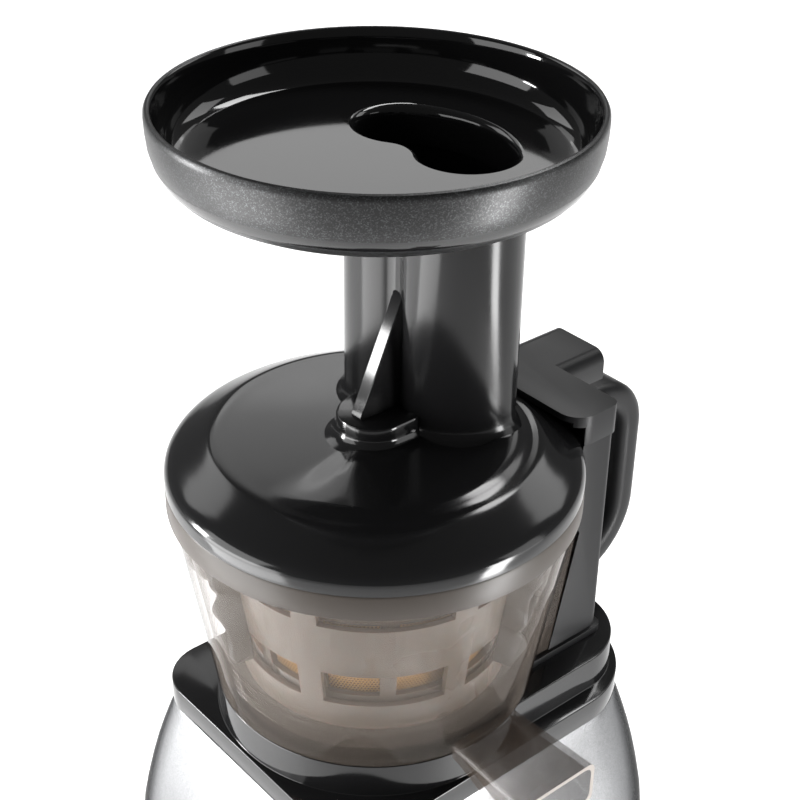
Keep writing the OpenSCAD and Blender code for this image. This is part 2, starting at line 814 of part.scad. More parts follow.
module juice_nozzle() {
    color([0.55, 0.5, 0.47, 0.5]) in_frame() difference() {
        union() {
            translate([-flange_face, 0, nozzle_z]) rotate([0, 90, 0])
                cylinder(r = nozzle_radius, h = flange_face - bowl_radius_low + 4);
            translate([-flange_face, 0, flap_z]) rotate([0, 90, 0])
                cylinder(r = flap_radius, h = flange_thickness);
            for (side = [-1, 1])
                translate([-flap_hinge_x - 2.5, side * 9 - 2, flap_z + flap_radius - 4])
                    cube([9, 4, 9]);
        }
        translate([-outlet_reach, 0, nozzle_z]) rotate([0, 90, 0])
            cylinder(r = nozzle_radius - nozzle_wall, h = outlet_reach);
        rotate_extrude() polygon([[0, collar_top - 1], [bowl_r(collar_top) + 0.1, collar_top - 1],
            [bowl_r(rim_low) + 0.1, rim_low], [0, rim_low]]);
        translate([-flap_hinge_x, 20, flap_hinge_z]) rotate([90, 0, 0])
            cylinder(r = hinge_pin_radius, h = 40);
        translate([-outlet_reach, -30, flap_z - flap_radius - 1])
            cube([outlet_reach - flange_face, 60, 2 * flap_radius + 1.3]);
    }
}

module flap_pin() {
    color("silver") in_frame() translate([-flap_hinge_x, 11, flap_hinge_z]) rotate([90, 0, 0])
        cylinder(r = hinge_pin_radius, h = 22);
}

module juice_flap() {
    color([0.5, 0.46, 0.43, 0.6]) in_frame() difference() {
        union() {
            translate([-flap_face - flap_thickness, 0, flap_z]) rotate([0, 90, 0])
                cylinder(r = flap_radius, h = flap_thickness);
            translate([-outlet_reach, -4, flap_z - 10]) cube([flap_tab + 1, 8, 16]);
            translate([-flap_hinge_x, 6.7, flap_hinge_z]) rotate([90, 0, 0])
                cylinder(r = 3, h = 13.4);
            translate([-flap_hinge_x - 1.5, -6.7, flap_z + flap_radius - 6]) cube([3, 13.4, 8]);
        }
        translate([-flap_hinge_x, 10, flap_hinge_z]) rotate([90, 0, 0])
            cylinder(r = hinge_pin_radius + running_fit, h = 20);
        translate([-flap_face - 1.2, 0, nozzle_z]) rotate([0, 90, 0])
            cylinder(r = nozzle_radius - nozzle_wall + 1, h = 2);
    }
}

module flap_seal() {
    color([0.9, 0.9, 0.9]) in_frame() translate([-flap_face - 1.2, 0, nozzle_z])
        rotate([0, 90, 0]) cylinder(r = nozzle_radius - nozzle_wall + 1, h = 1.2);
}

// ---------------------------------------------------------------- tower, hood and handle

module tower_plan(grow) {
    translate([-tower_half_width - grow, 0])
        square([2 * (tower_half_width + grow), tower_back + grow - 4]);
    for (side = [-1, 1]) translate([side * (tower_half_width + grow - 4), tower_back + grow - 4])
        circle(4);
    translate([-tower_half_width - grow + 4, 0])
        square([2 * (tower_half_width + grow - 4), tower_back + grow]);
}

module rear_tower() {
    gap = 0.3;
    edge = flange_depth + gap;
    tower_top = hood_low;
    color([0.27, 0.27, 0.28]) in_frame() difference() {
        union() {
            translate([0, 0, collar_top]) linear_extrude(tower_top - collar_top) tower_plan(0);
            translate([0, 0, collar_top]) linear_extrude(3) tower_plan(1.5);
        }
        translate([0, 0, collar_top + tower_wall]) linear_extrude(tower_top) tower_plan(-tower_wall);
        rotate_extrude() polygon([[0, collar_top - 1], [bowl_r(collar_top) + gap, collar_top - 1],
            [bowl_r(rim_low) + gap, rim_low], [rim_radius + gap, rim_low],
            [rim_radius + gap, hood_z], [0, hood_z]]);
        intersection() {
            rotate_extrude() polygon([[0, collar_top + 3], [bowl_r(collar_top + 3) + edge, collar_top + 3],
                [bowl_r(flange_top) + edge, flange_top - 7.6],
                [bowl_r(flange_top) + edge - 3, flange_top - 1.6],
                [bowl_r(flange_top), flange_top + 0.4], [0, flange_top + 0.4]]);
            translate([-rim_radius, 0, collar_top]) cube([2 * rim_radius, rim_radius, bowl_height]);
        }
        translate([-tower_half_width - 2, -cut, collar_top - cut])
            cube([2 * tower_half_width + 4, 30, bowl_height * 2]);
        tongue_path();
        for (z = handle_screw_heights) translate([0, tower_back + cut, z]) rotate([90, 0, 0])
            cylinder(r = screw_radius + 0.2, h = tower_wall + 2 * cut);
        for (side = [-1, 1]) translate([side * boss_x, boss_y, collar_top - cut]) {
            cylinder(r = screw_radius + 0.2, h = 6);
            cylinder(r = screw_head + 0.2, h = 1.9 + cut);
        }
        translate([plunger_x, plunger_y, collar_top - cut])
            cylinder(r = plunger_radius + 0.3, h = 6);
    }
}

handle_top = lid_low - 3;
handle_low = collar_top + 4;
handle_screw_heights = [handle_low + 8, handle_top - grip_thickness - 8];

// The way that the lid's tongue takes when the lid is turned to unlock it
module tongue_path() {
    translate([0, 0, tongue_z - 0.6]) rotate(plunger_angle - 6) rotate_extrude(angle = lid_turn + 14)
        translate([rim_radius - 2, 0]) square([tongue_reach + 2.5, tongue_height + 1.2]);
}

module tower_screws() {
    color("silver") in_frame() for (side = [-1, 1])
        translate([side * boss_x, boss_y, collar_top + 0.3]) {
            cylinder(r = screw_radius - running_fit, h = boss_height);
            cylinder(r = screw_head, h = 1.5);
        }
}

module hood() {
    arm_back = tower_back + 23;
    front = 57;
    end_r = 9;
    half = tower_half_width + 0.6;
    wall = 2.4;
    plate = 2.6;
    color([0.33, 0.34, 0.35]) in_frame() difference() {
        union() {
            translate([0, 0, hood_low]) linear_extrude(hood_skirt)
                plan(half, -front, tower_back + 0.6, end_r, 4);
            translate([-hood_arm, front + 10, hood_z - hood_skirt])
                cube([2 * hood_arm, arm_back - front - 10, hood_skirt - 5]);
            translate([5 - hood_arm, front + 10, hood_z - 5])
                cube([2 * (hood_arm - 5), arm_back - front - 10, 5]);
            for (side = [-1, 1]) translate([side * (hood_arm - 5), arm_back, hood_z - 5])
                rotate([90, 0, 0]) cylinder(r = 5, h = arm_back - front - 10);
        }
        translate([0, 0, hood_low - cut]) cylinder(r = rim_radius + 0.6, h = lid_height - 3.4);
        translate([0, 0, hood_low - cut])
            cylinder(r = rim_radius - 4, h = hood_skirt - plate + cut);
        translate([0, 0, hood_low - cut]) linear_extrude(hood_skirt - plate + cut)
            difference() {
                plan(half - wall, -front - wall, tower_back + 0.6 - wall, end_r - wall, 2);
                circle(rim_radius);
            }
        translate([wall - hood_arm, tower_back, hood_low - cut])
            cube([2 * (hood_arm - wall), arm_back - tower_back - wall, hood_skirt - plate - 3]);
        tongue_path();
    }
}

// The handle's side view: a D loop behind the tower. inset draws the outline in.
module handle_loop(inset) {
    dip = 12;
    back = handle_reach - inset;
    high = handle_top - inset;
    low = handle_low - dip + inset;
    corner = 24 - inset;
    heel = 34 - inset;
    translate([back - corner, high - corner]) intersection() {
        circle(corner);
        square(corner);
    }
    translate([back - heel, low + heel]) intersection() {
        circle(heel);
        translate([0, -heel]) square(heel);
    }
    polygon([[tower_back, high], [back - corner, high], [back - corner, high - corner],
        [back, high - corner], [back, low + heel], [back - heel, low + heel],
        [back - heel, low], [tower_back + 12, handle_low + inset],
        [tower_back, handle_low + inset]]);
}

module handle() {
    edge = 3;
    foot = 3;
    color([0.2, 0.2, 0.21]) in_frame() difference() {
        union() {
            translate([handle_width / 2, 0, 0]) rotate([90, 0, -90])
                translate([0, 0, 0]) mirror([1, 0, 0]) linear_extrude(handle_width)
                    handle_loop(edge);
            translate([handle_width / 2 - edge, 0, 0]) rotate([90, 0, -90])
                mirror([1, 0, 0]) linear_extrude(handle_width - 2 * edge) handle_loop(0);
        }
        translate([handle_width / 2 + cut, 0, 0]) rotate([90, 0, -90]) mirror([1, 0, 0])
            linear_extrude(handle_width + 2 * cut) difference() {
                handle_loop(grip_thickness);
                translate([tower_back - cut, 0]) square([foot + cut, 2 * total_height]);
            }
        for (z = handle_screw_heights) translate([0, tower_back + foot + cut, z])
            rotate([90, 0, 0]) cylinder(r = screw_radius, h = foot + 2 * cut);
    }
}

module handle_screws() {
    color("silver") in_frame() for (z = handle_screw_heights) {
        translate([0, tower_back + 2.8, z]) rotate([90, 0, 0])
            cylinder(r = screw_radius - running_fit, h = tower_wall + 2.8);
        translate([0, tower_back - tower_wall, z]) rotate([90, 0, 0])
            cylinder(r = screw_head, h = 2);
    }
}

module interlock_plunger() {
    low = collar_top - base_wall - 0.4;
    color([0.9, 0.9, 0.88]) in_frame() translate([plunger_x, plunger_y, 0]) {
        translate([0, 0, low]) cylinder(r = plunger_radius, h = tongue_z - 0.2 - low);
        translate([0, 0, spring_low + spring_length + 0.2])
            cylinder(r = plunger_seat, h = 2);
    }
}

module plunger_spring() {
    turns = 8;
    r = plunger_radius + 1.1;
    wire = 0.45;
    rings = turns * 8;
    sides = 6;
    rise = spring_length - 2 * wire;
    points = [for (i = [0:rings], k = [0:sides - 1])
        let (a = 360 * i / 8, b = 360 * k / sides, d = r + wire * cos(b))
            [d * cos(a), d * sin(a), rise * i / rings + wire * sin(b)]];
    walls = [for (i = [0:rings - 1], k = [0:sides - 1])
        let (n = (k + 1) % sides, a = i * sides, b = a + sides) each
            [[a + k, b + k, a + n], [a + n, b + k, b + n]]];
    ends = concat([for (k = [1:sides - 2]) [0, k, k + 1]],
        [for (k = [1:sides - 2]) [rings * sides, rings * sides + k + 1, rings * sides + k]]);
    color("silver") in_frame() translate([plunger_x, plunger_y, spring_low + wire])
        polyhedron(points, concat(walls, ends));
}

// ---------------------------------------------------------------- juicing set

module idler_pin() {
    color("silver") in_frame() translate([0, set_distance, bowl_floor + 1])
        cylinder(r = 3, h = gear_low + gear_height + 0.2 - bowl_floor - 1);
}

module idler_gear() {
    color([0.9, 0.9, 0.88]) in_frame() translate([0, set_distance, gear_low]) difference() {
        linear_extrude(gear_height) rotate(-90 + 180 / set_pinion_teeth)
            teeth(set_pinion_teeth, set_module);
        translate([0, 0, -cut]) cylinder(r = 3 + running_fit, h = gear_height + 2 * cut);
    }
}

// Windows cut through a cone's wall: rows of [low, high] heights, count round the wall
module windows(rows, count, gap_angle, radius) {
    for (row = rows, i = [0:count - 1])
        rotate(360 / count * i) translate([0, 0, row[0]])
            rotate_extrude(angle = 360 / count - gap_angle)
                translate([10, 0]) square([radius, row[1] - row[0]]);
}

module strainer_frame() {
    plate = 2;
    color([0.6, 0.6, 0.6]) in_frame() difference() {
        union() {
            cone_wall(basket_low, basket_top, basket_r(basket_low), basket_r(basket_top),
                basket_wall);
            translate([0, 0, basket_low - plate + 0.5])
                ring(basket_r(basket_low) - 0.5, 13, plate);
            translate([0, 0, basket_top])
                ring(bowl_r(rim_low) - bowl_wall - 1, basket_r(basket_top) - basket_wall, 3);
        }
        windows([[basket_low + 6, basket_low + 22], [basket_low + 26, basket_low + 42],
            [basket_low + 46, basket_top - 4]], 12, 7, 80);
        rotate(-20) translate([basket_r(basket_low) - 14, -8, basket_low - 3])
            cube([9, 16, 4]);
    }
}

module strainer_mesh() {
    sheet = 0.6;
    low = basket_low + 3;
    high = basket_top - 2;
    color([0.72, 0.6, 0.42]) in_frame() cone_wall(low, high,
        basket_r(low) - basket_wall - 0.05, basket_r(high) - basket_wall - 0.05, sheet);
}

module brush_frame() {
    low = gear_low;
    high = basket_top - 2;
    color([0.62, 0.61, 0.6, 0.6]) in_frame() difference() {
        union() {
            cone_wall(basket_low, high, brush_r(basket_low), brush_r(high), basket_wall);
            translate([0, 0, low]) ring(brush_r(basket_low), brush_r(basket_low) - basket_wall,
                basket_low - low + 0.5);
        }
        windows([[basket_low + 4, basket_low + 19], [basket_low + 42, high - 5]], 6, 10, 80);
    }
}

module brush_gear() {
    color([0.9, 0.9, 0.88]) in_frame() translate([0, 0, gear_low]) linear_extrude(gear_height)
        difference() {
            circle(brush_r(basket_low) - basket_wall);
            rotate(90 + 180 / set_ring_teeth)
                teeth(set_ring_teeth, set_module, 1.2, 0.9, 0.21, 0.39);
        }
}

module wiper_blades() {
    low = basket_low + 2;
    high = basket_top - 4;
    color([0.22, 0.19, 0.17]) in_frame() for (a = [200, 320, 80]) rotate(a) intersection() {
        rotate_extrude() polygon([[brush_r(low) + 0.02, low], [bowl_r(low) - bowl_wall - 0.6, low],
            [bowl_r(high) - bowl_wall - 0.6, high], [brush_r(high) + 0.02, high]]);
        translate([30, -wiper_thickness / 2, low]) cube([60, wiper_thickness, high - low]);
    }
}

module auger() {
    core = 14;
    flight_height = flight_top - flight_low;
    color([0.25, 0.25, 0.26]) in_frame() difference() {
        union() {
            translate([0, 0, auger_low]) linear_extrude(gear_height)
                rotate(90) teeth(set_pinion_teeth, set_module);
            translate([0, 0, auger_low + gear_height])
                cylinder(r = 10, h = flight_low - auger_low - gear_height);
            rotate_extrude() polygon([[0, flight_low], [auger_radius, flight_low],
                [auger_radius, flight_low + 2.5], [core + 8, flight_low + 6],
                [core, flight_low + 24], [core - 3, flight_top], [auger_tip_radius, flight_top + 4],
                [auger_tip_radius, lid_flat - 4], [0, lid_flat - 4]]);
            translate([0, 0, flight_low]) linear_extrude(height = flight_height,
                    twist = -460, scale = 0.78, slices = 60, $fn = 16)
                for (a = [0, 180]) rotate(a) translate([6, -2]) square([auger_radius - 6.5, 4]);
        }
        translate([0, 0, auger_low - cut])
            cylinder(r = hex_radius + slip_fit, h = hex_top - auger_low + 2, $fn = 6);
    }
}

// ---------------------------------------------------------------- lid and tray

module lid() {
    boss_r = 12;
    boss_y = -3;
    boss_z = lid_top + 7.5;
    under = lid_wall;
    color([0.08, 0.08, 0.085]) in_frame() difference() {
        union() {
            rotate_extrude() polygon([[rim_radius, lid_low], [rim_radius, lid_low + 4],
                [rim_radius - 0.8, lid_low + 6.2], [rim_radius - 2.8, lid_low + 8.4],
                [64, lid_flat], [49, lid_flat + 0.6], [47.4, lid_flat + 1.4],
                [46, lid_top - 0.8], [44.6, lid_top], [0, lid_top + 0.8],
                [0, lid_top - under], [42, lid_top - under - 0.6], [43.5, lid_flat - under],
                [62, lid_flat - under], [67.6, lid_low + seal_height + 2],
                [67.6, lid_low + seal_height], [seal_outer + 0.1, lid_low + seal_height],
                [seal_outer + 0.1, lid_low]]);
            translate([0, boss_y, lid_top - 1]) cylinder(r = boss_r, h = boss_z - lid_top + 1);
            translate([-boss_r, boss_y, lid_top - 1])
                cube([2 * boss_r, chute_back - lobe_front - boss_y + 6, boss_z - lid_top + 1]);
            lid_tongue();
            translate([0, 0, lid_flat - 9]) cylinder(r = 10, h = 9 + lid_step - 2);
        }
        translate([0, 0, lid_low - cut]) linear_extrude(40) bean(0.02);
        translate([0, 0, lid_low]) cylinder(r = 7.5, h = lid_flat - lid_low + 0.2);
    }
}

// The tongue goes under the hood and holds the plunger down. Its underside climbs, so that
// the plunger comes up as the lid turns.
module lid_tongue() {
    climb = atan2(plunger_travel, lid_turn * PI / 180 * plunger_reach);
    difference() {
        translate([0, 0, tongue_z]) rotate(plunger_angle - 4) rotate_extrude(angle = 8)
            translate([rim_radius - 1.4, 0]) square([tongue_reach + 1.4, tongue_height]);
        rotate(plunger_angle) translate([plunger_reach, 2.2, tongue_z]) rotate([-climb, 0, 0])
            translate([-plunger_radius - 0.4, -12, -4]) cube([12, 22, 4]);
    }
}

seal_outer = bowl_r(rim_low) - bowl_wall + 1.7;
seal_width = 4.5;

module lid_seal() {
    color([0.3, 0.3, 0.3]) in_frame() translate([0, 0, lid_low - slip_fit + 0.02])
        ring(seal_outer, seal_outer - seal_width, seal_height);
}

module auger_bush() {
    color([0.92, 0.92, 0.9]) in_frame() translate([0, 0, lid_flat - 8])
        ring(7.5 - 0.02, auger_tip_radius + running_fit, 8);
}

module feed_chute() {
    top = tray_under - 0.1;
    boss_z = lid_top + 7.5;
    root = chute_back - lobe_front;
    color([0.16, 0.16, 0.17]) in_frame() {
        difference() {
            translate([0, 0, lid_low + 6]) linear_extrude(top - lid_low - 6) bean(0);
            translate([0, 0, lid_low]) linear_extrude(top) bean(-lid_wall);
        }
        translate([fin_thickness / 2, 0, 0]) rotate([90, 0, -90]) mirror([1, 0, 0])
            linear_extrude(fin_thickness) polygon([[root + 1.5, boss_z], [root - 19, boss_z],
                [root - 19, boss_z + 2], [root - 1, boss_z + fin_height],
                [root + 1.5, boss_z + fin_height]]);
    }
}

module feed_tray() {
    rim = total_height;
    neck = 12;
    color([0.2, 0.2, 0.21]) in_frame() difference() {
        union() {
            rotate_extrude() polygon([[0, tray_under], [tray_radius - 20, tray_under],
                [tray_radius - 10, tray_under + 0.8], [tray_radius - 5.2, tray_under + 3.2],
                [tray_radius - 2.2, tray_under + 7], [tray_radius - 0.5, tray_under + 12.5],
                [tray_radius, rim - 3], [tray_radius - 0.3, rim - 1], [tray_radius - 1.3, rim],
                [tray_radius - 2.4, rim - 0.6], [tray_radius - 2.9, rim - 4],
                [tray_radius - 4, rim - 10], [tray_radius - 7, tray_floor + 2.4],
                [tray_radius - 12, tray_floor], [0, tray_floor]]);
            translate([0, 0, tray_under - neck]) linear_extrude(neck + 1)
                bean(-lid_wall - slip_fit);
        }
        translate([0, 0, tray_under - neck - cut]) linear_extrude(neck + 20)
            bean(-lid_wall - slip_fit - 2);
    }
}

base_shell();
top_cap();
bottom_plate();
rubber_feet();
bottom_screws();
vent_grille();
motor_can();
stator_core();
motor_end_plate();
motor_dampers();
lower_bearing();
upper_bearing();
gearbox_housing();
gearbox_cover();
gearbox_screws();
wheel_pin();
output_bearing();
shaft_seal();
control_board();
run_capacitor();
cord_inlet();
switch_bezel();
interlock_switch();
rocker();
motor_shaft();
rotor_core();
cooling_fan();
compound_wheel();
output_gear();
output_shaft();
bowl();
bowl_seal();
pulp_spout();
juice_nozzle();
flap_pin();
juice_flap();
flap_seal();
rear_tower();
tower_screws();
hood();
handle();
handle_screws();
interlock_plunger();
plunger_spring();
idler_pin();
idler_gear();
strainer_frame();
strainer_mesh();
brush_frame();
brush_gear();
wiper_blades();
auger();
auger_bush();
lid();
lid_seal();
feed_chute();
feed_tray();
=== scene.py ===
# %% [markdown]
# # A cold press juicer, dressed for the studio
# The solids of the juicer come ready made as a fixed frame. This lesson gives them their looks.
# The parts that the eye meets first are modelled again, with soft edges and real wall thickness.
# Every part gets the finish of the plastic, silicone or metal that it is made of.

# %% Load the fixed frame
import bpy
import bmesh
import json
import math
from mathutils import Vector, Matrix


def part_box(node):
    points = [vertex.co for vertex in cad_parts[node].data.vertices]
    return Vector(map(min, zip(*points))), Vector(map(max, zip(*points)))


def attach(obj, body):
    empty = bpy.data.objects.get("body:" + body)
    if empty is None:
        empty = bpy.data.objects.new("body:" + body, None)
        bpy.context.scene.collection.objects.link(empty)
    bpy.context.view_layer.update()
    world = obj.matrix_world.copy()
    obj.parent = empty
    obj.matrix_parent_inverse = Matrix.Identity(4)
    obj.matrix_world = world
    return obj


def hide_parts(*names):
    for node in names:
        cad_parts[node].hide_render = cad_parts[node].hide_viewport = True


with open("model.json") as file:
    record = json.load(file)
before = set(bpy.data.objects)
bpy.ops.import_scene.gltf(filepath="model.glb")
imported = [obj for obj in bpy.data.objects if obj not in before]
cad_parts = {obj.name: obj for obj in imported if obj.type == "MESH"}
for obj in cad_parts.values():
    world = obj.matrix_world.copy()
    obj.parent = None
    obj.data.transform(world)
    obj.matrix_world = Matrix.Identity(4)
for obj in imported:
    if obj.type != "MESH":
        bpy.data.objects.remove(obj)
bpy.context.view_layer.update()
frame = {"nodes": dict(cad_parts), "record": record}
nodes = frame["nodes"]
print("solids in the frame:", len(nodes))

# %% [markdown]
# ## One place to measure from
# Nearly every part of a juicer is round about the bowl's upright axis. Points could be written in
# the scene's own metres, but a maker's drawing measures from that axis in millimetres, and such
# numbers are easier to read. One short function turns them into a point of the scene. The axis
# is read from the lid's seal, a ring that lies round it.

# %% Millimetres about the bowl's axis
MM = 0.001
low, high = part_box("lid_seal")
AXIS = Vector(((low.x + high.x) / 2, (low.y + high.y) / 2, 0))


def at(x, y, z):
    return AXIS + Vector((x, y, z)) * MM


print("bowl axis at", [round(v, 4) for v in AXIS])

# %% [markdown]
# ## Camera
# The photograph looks down on the juicer's front right corner through a short telephoto lens. A
# camera placed by eye would put no edge quite where it belongs. So its place and its three turns
# were worked out from edges whose real places are known: the rims of the tray and the lid, and
# the sides of the base.

# %% Place the camera
eye = at(364.8, -300.4, 579.8)
turn, tilt, roll = math.radians(49.5), math.radians(31.53), math.radians(-0.88)
forward = Vector((-math.sin(turn) * math.cos(tilt), math.cos(turn) * math.cos(tilt),
                  -math.sin(tilt)))
across = Vector((math.cos(turn), math.sin(turn), 0))
down = forward.cross(across)
right = across * math.cos(roll) + down * math.sin(roll)
down = down * math.cos(roll) - across * math.sin(roll)
bpy.ops.object.camera_add(location=eye)
camera = bpy.context.object
camera.name = "photo_camera"
# A camera's own axes point to the right, up and backwards.
camera.matrix_world = Matrix((
    (right.x, -down.x, -forward.x, eye.x),
    (right.y, -down.y, -forward.y, eye.y),
    (right.z, -down.z, -forward.z, eye.z),
    (0, 0, 0, 1)))
camera.data.sensor_width = 36
camera.data.lens = 71.48
camera.data.clip_start = 0.01
bpy.context.scene.camera = camera
print("camera height", round(eye.z, 3), "m")

# %% [markdown]
# ## Studio
# The juicer stands on lit white, and glossy black plastic shows only what it reflects. One big
# light overhead would be simpler, but each bright shape on the real one is the mirror image of a
# lamp of its own. So each soft box stands where one surface mirrors it to the eye: far behind
# for the level floor of the tray and the disc of the lid, low and near for the upright chute.

# %% Tools for the studio
def deselect():
    if bpy.context.object and bpy.context.object.mode != "OBJECT":
        bpy.ops.object.mode_set(mode="OBJECT")
    bpy.ops.object.select_all(action="DESELECT")


def stand(back, side, up):
    """A place in metres as the camera sees it: behind the juicer, to its right, and up."""
    return behind * back + across * side + Vector((0, 0, up))


def soft_box(name, place, target, width, height, power):
    bpy.ops.object.light_add(type="AREA", location=place)
    lamp = bpy.context.object
    lamp.name = name
    lamp.data.shape = "RECTANGLE"
    lamp.data.size = width
    lamp.data.size_y = height
    lamp.data.energy = power
    lamp.rotation_euler = (target - place).to_track_quat("-Z", "Y").to_euler()


behind = Vector((-math.sin(turn), math.cos(turn), 0))
print("straight behind the juicer:", [round(v, 3) for v in behind])

# %% Floor
FLOOR_SIZE = 16
FLOOR_DROP = 0.0004  # keeps the floor and the undersides of the feet from sharing one plane
deselect()
bpy.ops.mesh.primitive_plane_add(size=FLOOR_SIZE, location=(0, 0, -FLOOR_DROP))
floor = bpy.context.object
floor.name = "studio_floor"
print("floor", FLOOR_SIZE, "m wide")

# %% Soft boxes
MIDDLE = Vector((0, 0, 0.25))
FIN = Vector((0, 0, 0.31))
BASE = Vector((0, 0, 0.1))
soft_box("backdrop", stand(2.5, 0, 1.38), MIDDLE, 1.4, 0.6, 4.6)  # the lens on the tray's floor
soft_box("lid_glow", stand(2.5, -0.2, 1.9), MIDDLE, 2.0, 0.5, 3.6)  # the grey on the lid's disc
soft_box("left_low", stand(-0.28, -0.85, 0.42), BASE, 0.6, 0.7, 4.5)  # the silver front
soft_box("left_strip", stand(0, -0.9, 0.36), FIN, 0.14, 0.3, 7)  # the bright edge of the fin
soft_box("right_low", stand(-0.22, 0.95, 0.42), BASE, 0.4, 0.7, 1.6)  # the base's right side
soft_box("top", stand(1.2, 0.45, 2.0), MIDDLE, 1.2, 0.5, 20)  # the arc in front of the chute
soft_box("back_right", stand(0.85, 1.0, 1.2), MIDDLE, 0.7, 0.5, 2.6)  # marks inside the tray
soft_box("back_left", stand(0.85, -1.0, 1.2), MIDDLE, 0.7, 0.5, 2.6)

# Two low panels close by give the chute its upright bands. Each stands at its own angle.
PANEL_AWAY, PANEL_UP, PANEL_TALL = 0.45, 0.15, 0.3
for name, degrees, width, power in (("left_panel", -63, 0.34, 1.9),
                                    ("right_panel", 57, 0.1, 2.2)):
    heading = math.radians(degrees)
    place = stand(-PANEL_AWAY * math.cos(heading), PANEL_AWAY * math.sin(heading), PANEL_UP)
    soft_box(name, place, Vector((0, 0, PANEL_UP)), width, PANEL_TALL, power)

# %% Sky
sky = bpy.data.worlds.new("studio_sky")
bpy.context.scene.world = sky
sky.use_nodes = True
sky_light = sky.node_tree.nodes["Background"]
sky_light.inputs["Color"].default_value = (1, 1, 1, 1)
sky_light.inputs["Strength"].default_value = 0.12
bpy.context.scene.view_settings.view_transform = "Standard"
print("sky strength", round(sky_light.inputs["Strength"].default_value, 2))

# %% [markdown]
# ## Tools for finishes
# Every finish is a small tree of shader nodes. It could be wired by hand in the shader editor,
# but there are over twenty, so one small function adds a node with its settings and links.
# Colours are written as the hex values that a designer reads off a screen, and they have to be
# turned into linear light first.

# %% Colour and node helpers
def linear(hex_code):
    parts = [int(hex_code[i:i + 2], 16) / 255 for i in (1, 3, 5)]
    return tuple(p / 12.92 if p <= 0.04045 else ((p + 0.055) / 1.055) ** 2.4 for p in parts) + (1,)


def add(tree, kind, inputs=None, **settings):
    """Adds a node. settings name its inputs or its properties. inputs go by name or by number,
    and each is a plain value or the socket that is linked to it."""
    node = tree.nodes.new(kind)
    for key, value in settings.items():
        name = key.replace("_", " ")
        if name in node.inputs:
            node.inputs[name].default_value = value
        elif name.title() in node.inputs:
            node.inputs[name.title()].default_value = value
        else:
            setattr(node, key, value)
    for name, value in (inputs or {}).items():
        if isinstance(value, bpy.types.NodeSocket):
            tree.links.new(value, node.inputs[name])
        else:
            node.inputs[name].default_value = value
    return node


def new_finish(name, colour, roughness, **settings):
    """A Principled finish; returns the material, its tree and its main shader."""
    finish = bpy.data.materials.new(name)
    finish.use_nodes = True
    tree = finish.node_tree
    shader = tree.nodes["Principled BSDF"]
    shader.inputs["Base Color"].default_value = linear(colour)
    shader.inputs["Roughness"].default_value = roughness
    for key, value in settings.items():
        shader.inputs[key.replace("_", " ")].default_value = value
    return finish, tree, shader


print("middle grey in linear light:", round(linear("#808080")[0], 3))

# %% [markdown]
# ## Moulded plastic
# Most of the juicer is injection moulded. Such a surface is never quite even: the mould leaves a
# fine grain in it, and its gloss drifts a little over a few centimetres. A photographed texture
# would show its seams on round parts. Noise on Object coordinates has none, so two noises at
# those two real sizes give both, and Voronoi cells give the specks of a metallic pigment.

# %% A moulded surface
GLOSS_DRIFT_MM = 45


def moulded(name, colour, roughness, grain_mm, bump_mm, drift=0.08, speck="#808080", specks=0.0,
            **settings):
    """drift is how far the roughness strays; specks is how strongly pigment cells show."""
    finish, tree, shader = new_finish(name, colour, roughness, **settings)
    place = add(tree, "ShaderNodeTexCoord")
    fine = add(tree, "ShaderNodeTexNoise", {"Vector": place.outputs["Object"]},
               scale=1000 / grain_mm, detail=2.0)
    broad = add(tree, "ShaderNodeTexNoise", {"Vector": place.outputs["Object"]},
                scale=1000 / GLOSS_DRIFT_MM, detail=3.0)
    gloss = add(tree, "ShaderNodeMapRange", {"Value": broad.outputs["Fac"]},
                from_min=0.3, from_max=0.7, to_min=max(0.02, roughness - drift),
                to_max=roughness + drift)
    tree.links.new(gloss.outputs["Result"], shader.inputs["Roughness"])
    relief = add(tree, "ShaderNodeBump", {"Height": fine.outputs["Fac"]},
                 strength=0.35, distance=bump_mm * MM)
    tree.links.new(relief.outputs["Normal"], shader.inputs["Normal"])
    sparkle = add(tree, "ShaderNodeTexVoronoi", {"Vector": place.outputs["Object"]},
                  scale=1000 / (grain_mm * 1.3))
    chosen = add(tree, "ShaderNodeMapRange", {"Value": sparkle.outputs["Color"]},
                 from_min=0.55, from_max=1.0, to_min=0.02, to_max=0.02 + specks)
    tone = add(tree, "ShaderNodeMix", {"Factor": chosen.outputs["Result"], "A": linear(colour),
                                       "B": linear(speck)}, data_type="RGBA")
    tree.links.new(tone.outputs["Result"], shader.inputs["Base Color"])
    return finish


print("gloss drifts over", GLOSS_DRIFT_MM, "mm")

# %% The outer plastics
finishes = {}  # one for each material slot of the solids, and some for single pieces
# ABS from a polished mould: deep black with clear reflections.
finishes["black_gloss"] = moulded("polished_black_abs", "#0b0b0c", 0.12, 0.6, 0.002, 0.05)
# ABS from a finely eroded mould: an even dark grey that mirrors nothing sharply.
finishes["dark_grey"] = moulded("satin_grey_abs", "#161617", 0.38, 0.35, 0.006, 0.05,
                                Specular_IOR_Level=0.2)
# ABS with aluminium pigment: a soft grey glow with fine bright specks. Real specks are some
# 0.05 mm, too fine to show, so they are drawn about 0.3 mm wide.
finishes["charcoal_satin"] = moulded("metallic_charcoal_abs", "#262626", 0.36, 0.25, 0.004, 0.04,
                                     speck="#7d7f82", specks=0.3, Metallic=0.6)
# The chute's ABS, slightly less polished: the bright bands on it have soft edges.
finishes["chute_black"] = moulded("satin_black_abs", "#0a0a0b", 0.17, 0.5, 0.002, 0.03,
                                  IOR=1.45, Specular_IOR_Level=0.36)
# The lid's ABS, a shade lighter: its disc mirrors the lamps as a smooth grey.
finishes["lid_black"] = moulded("polished_charcoal_abs", "#101011", 0.13, 0.5, 0.002, 0.03)
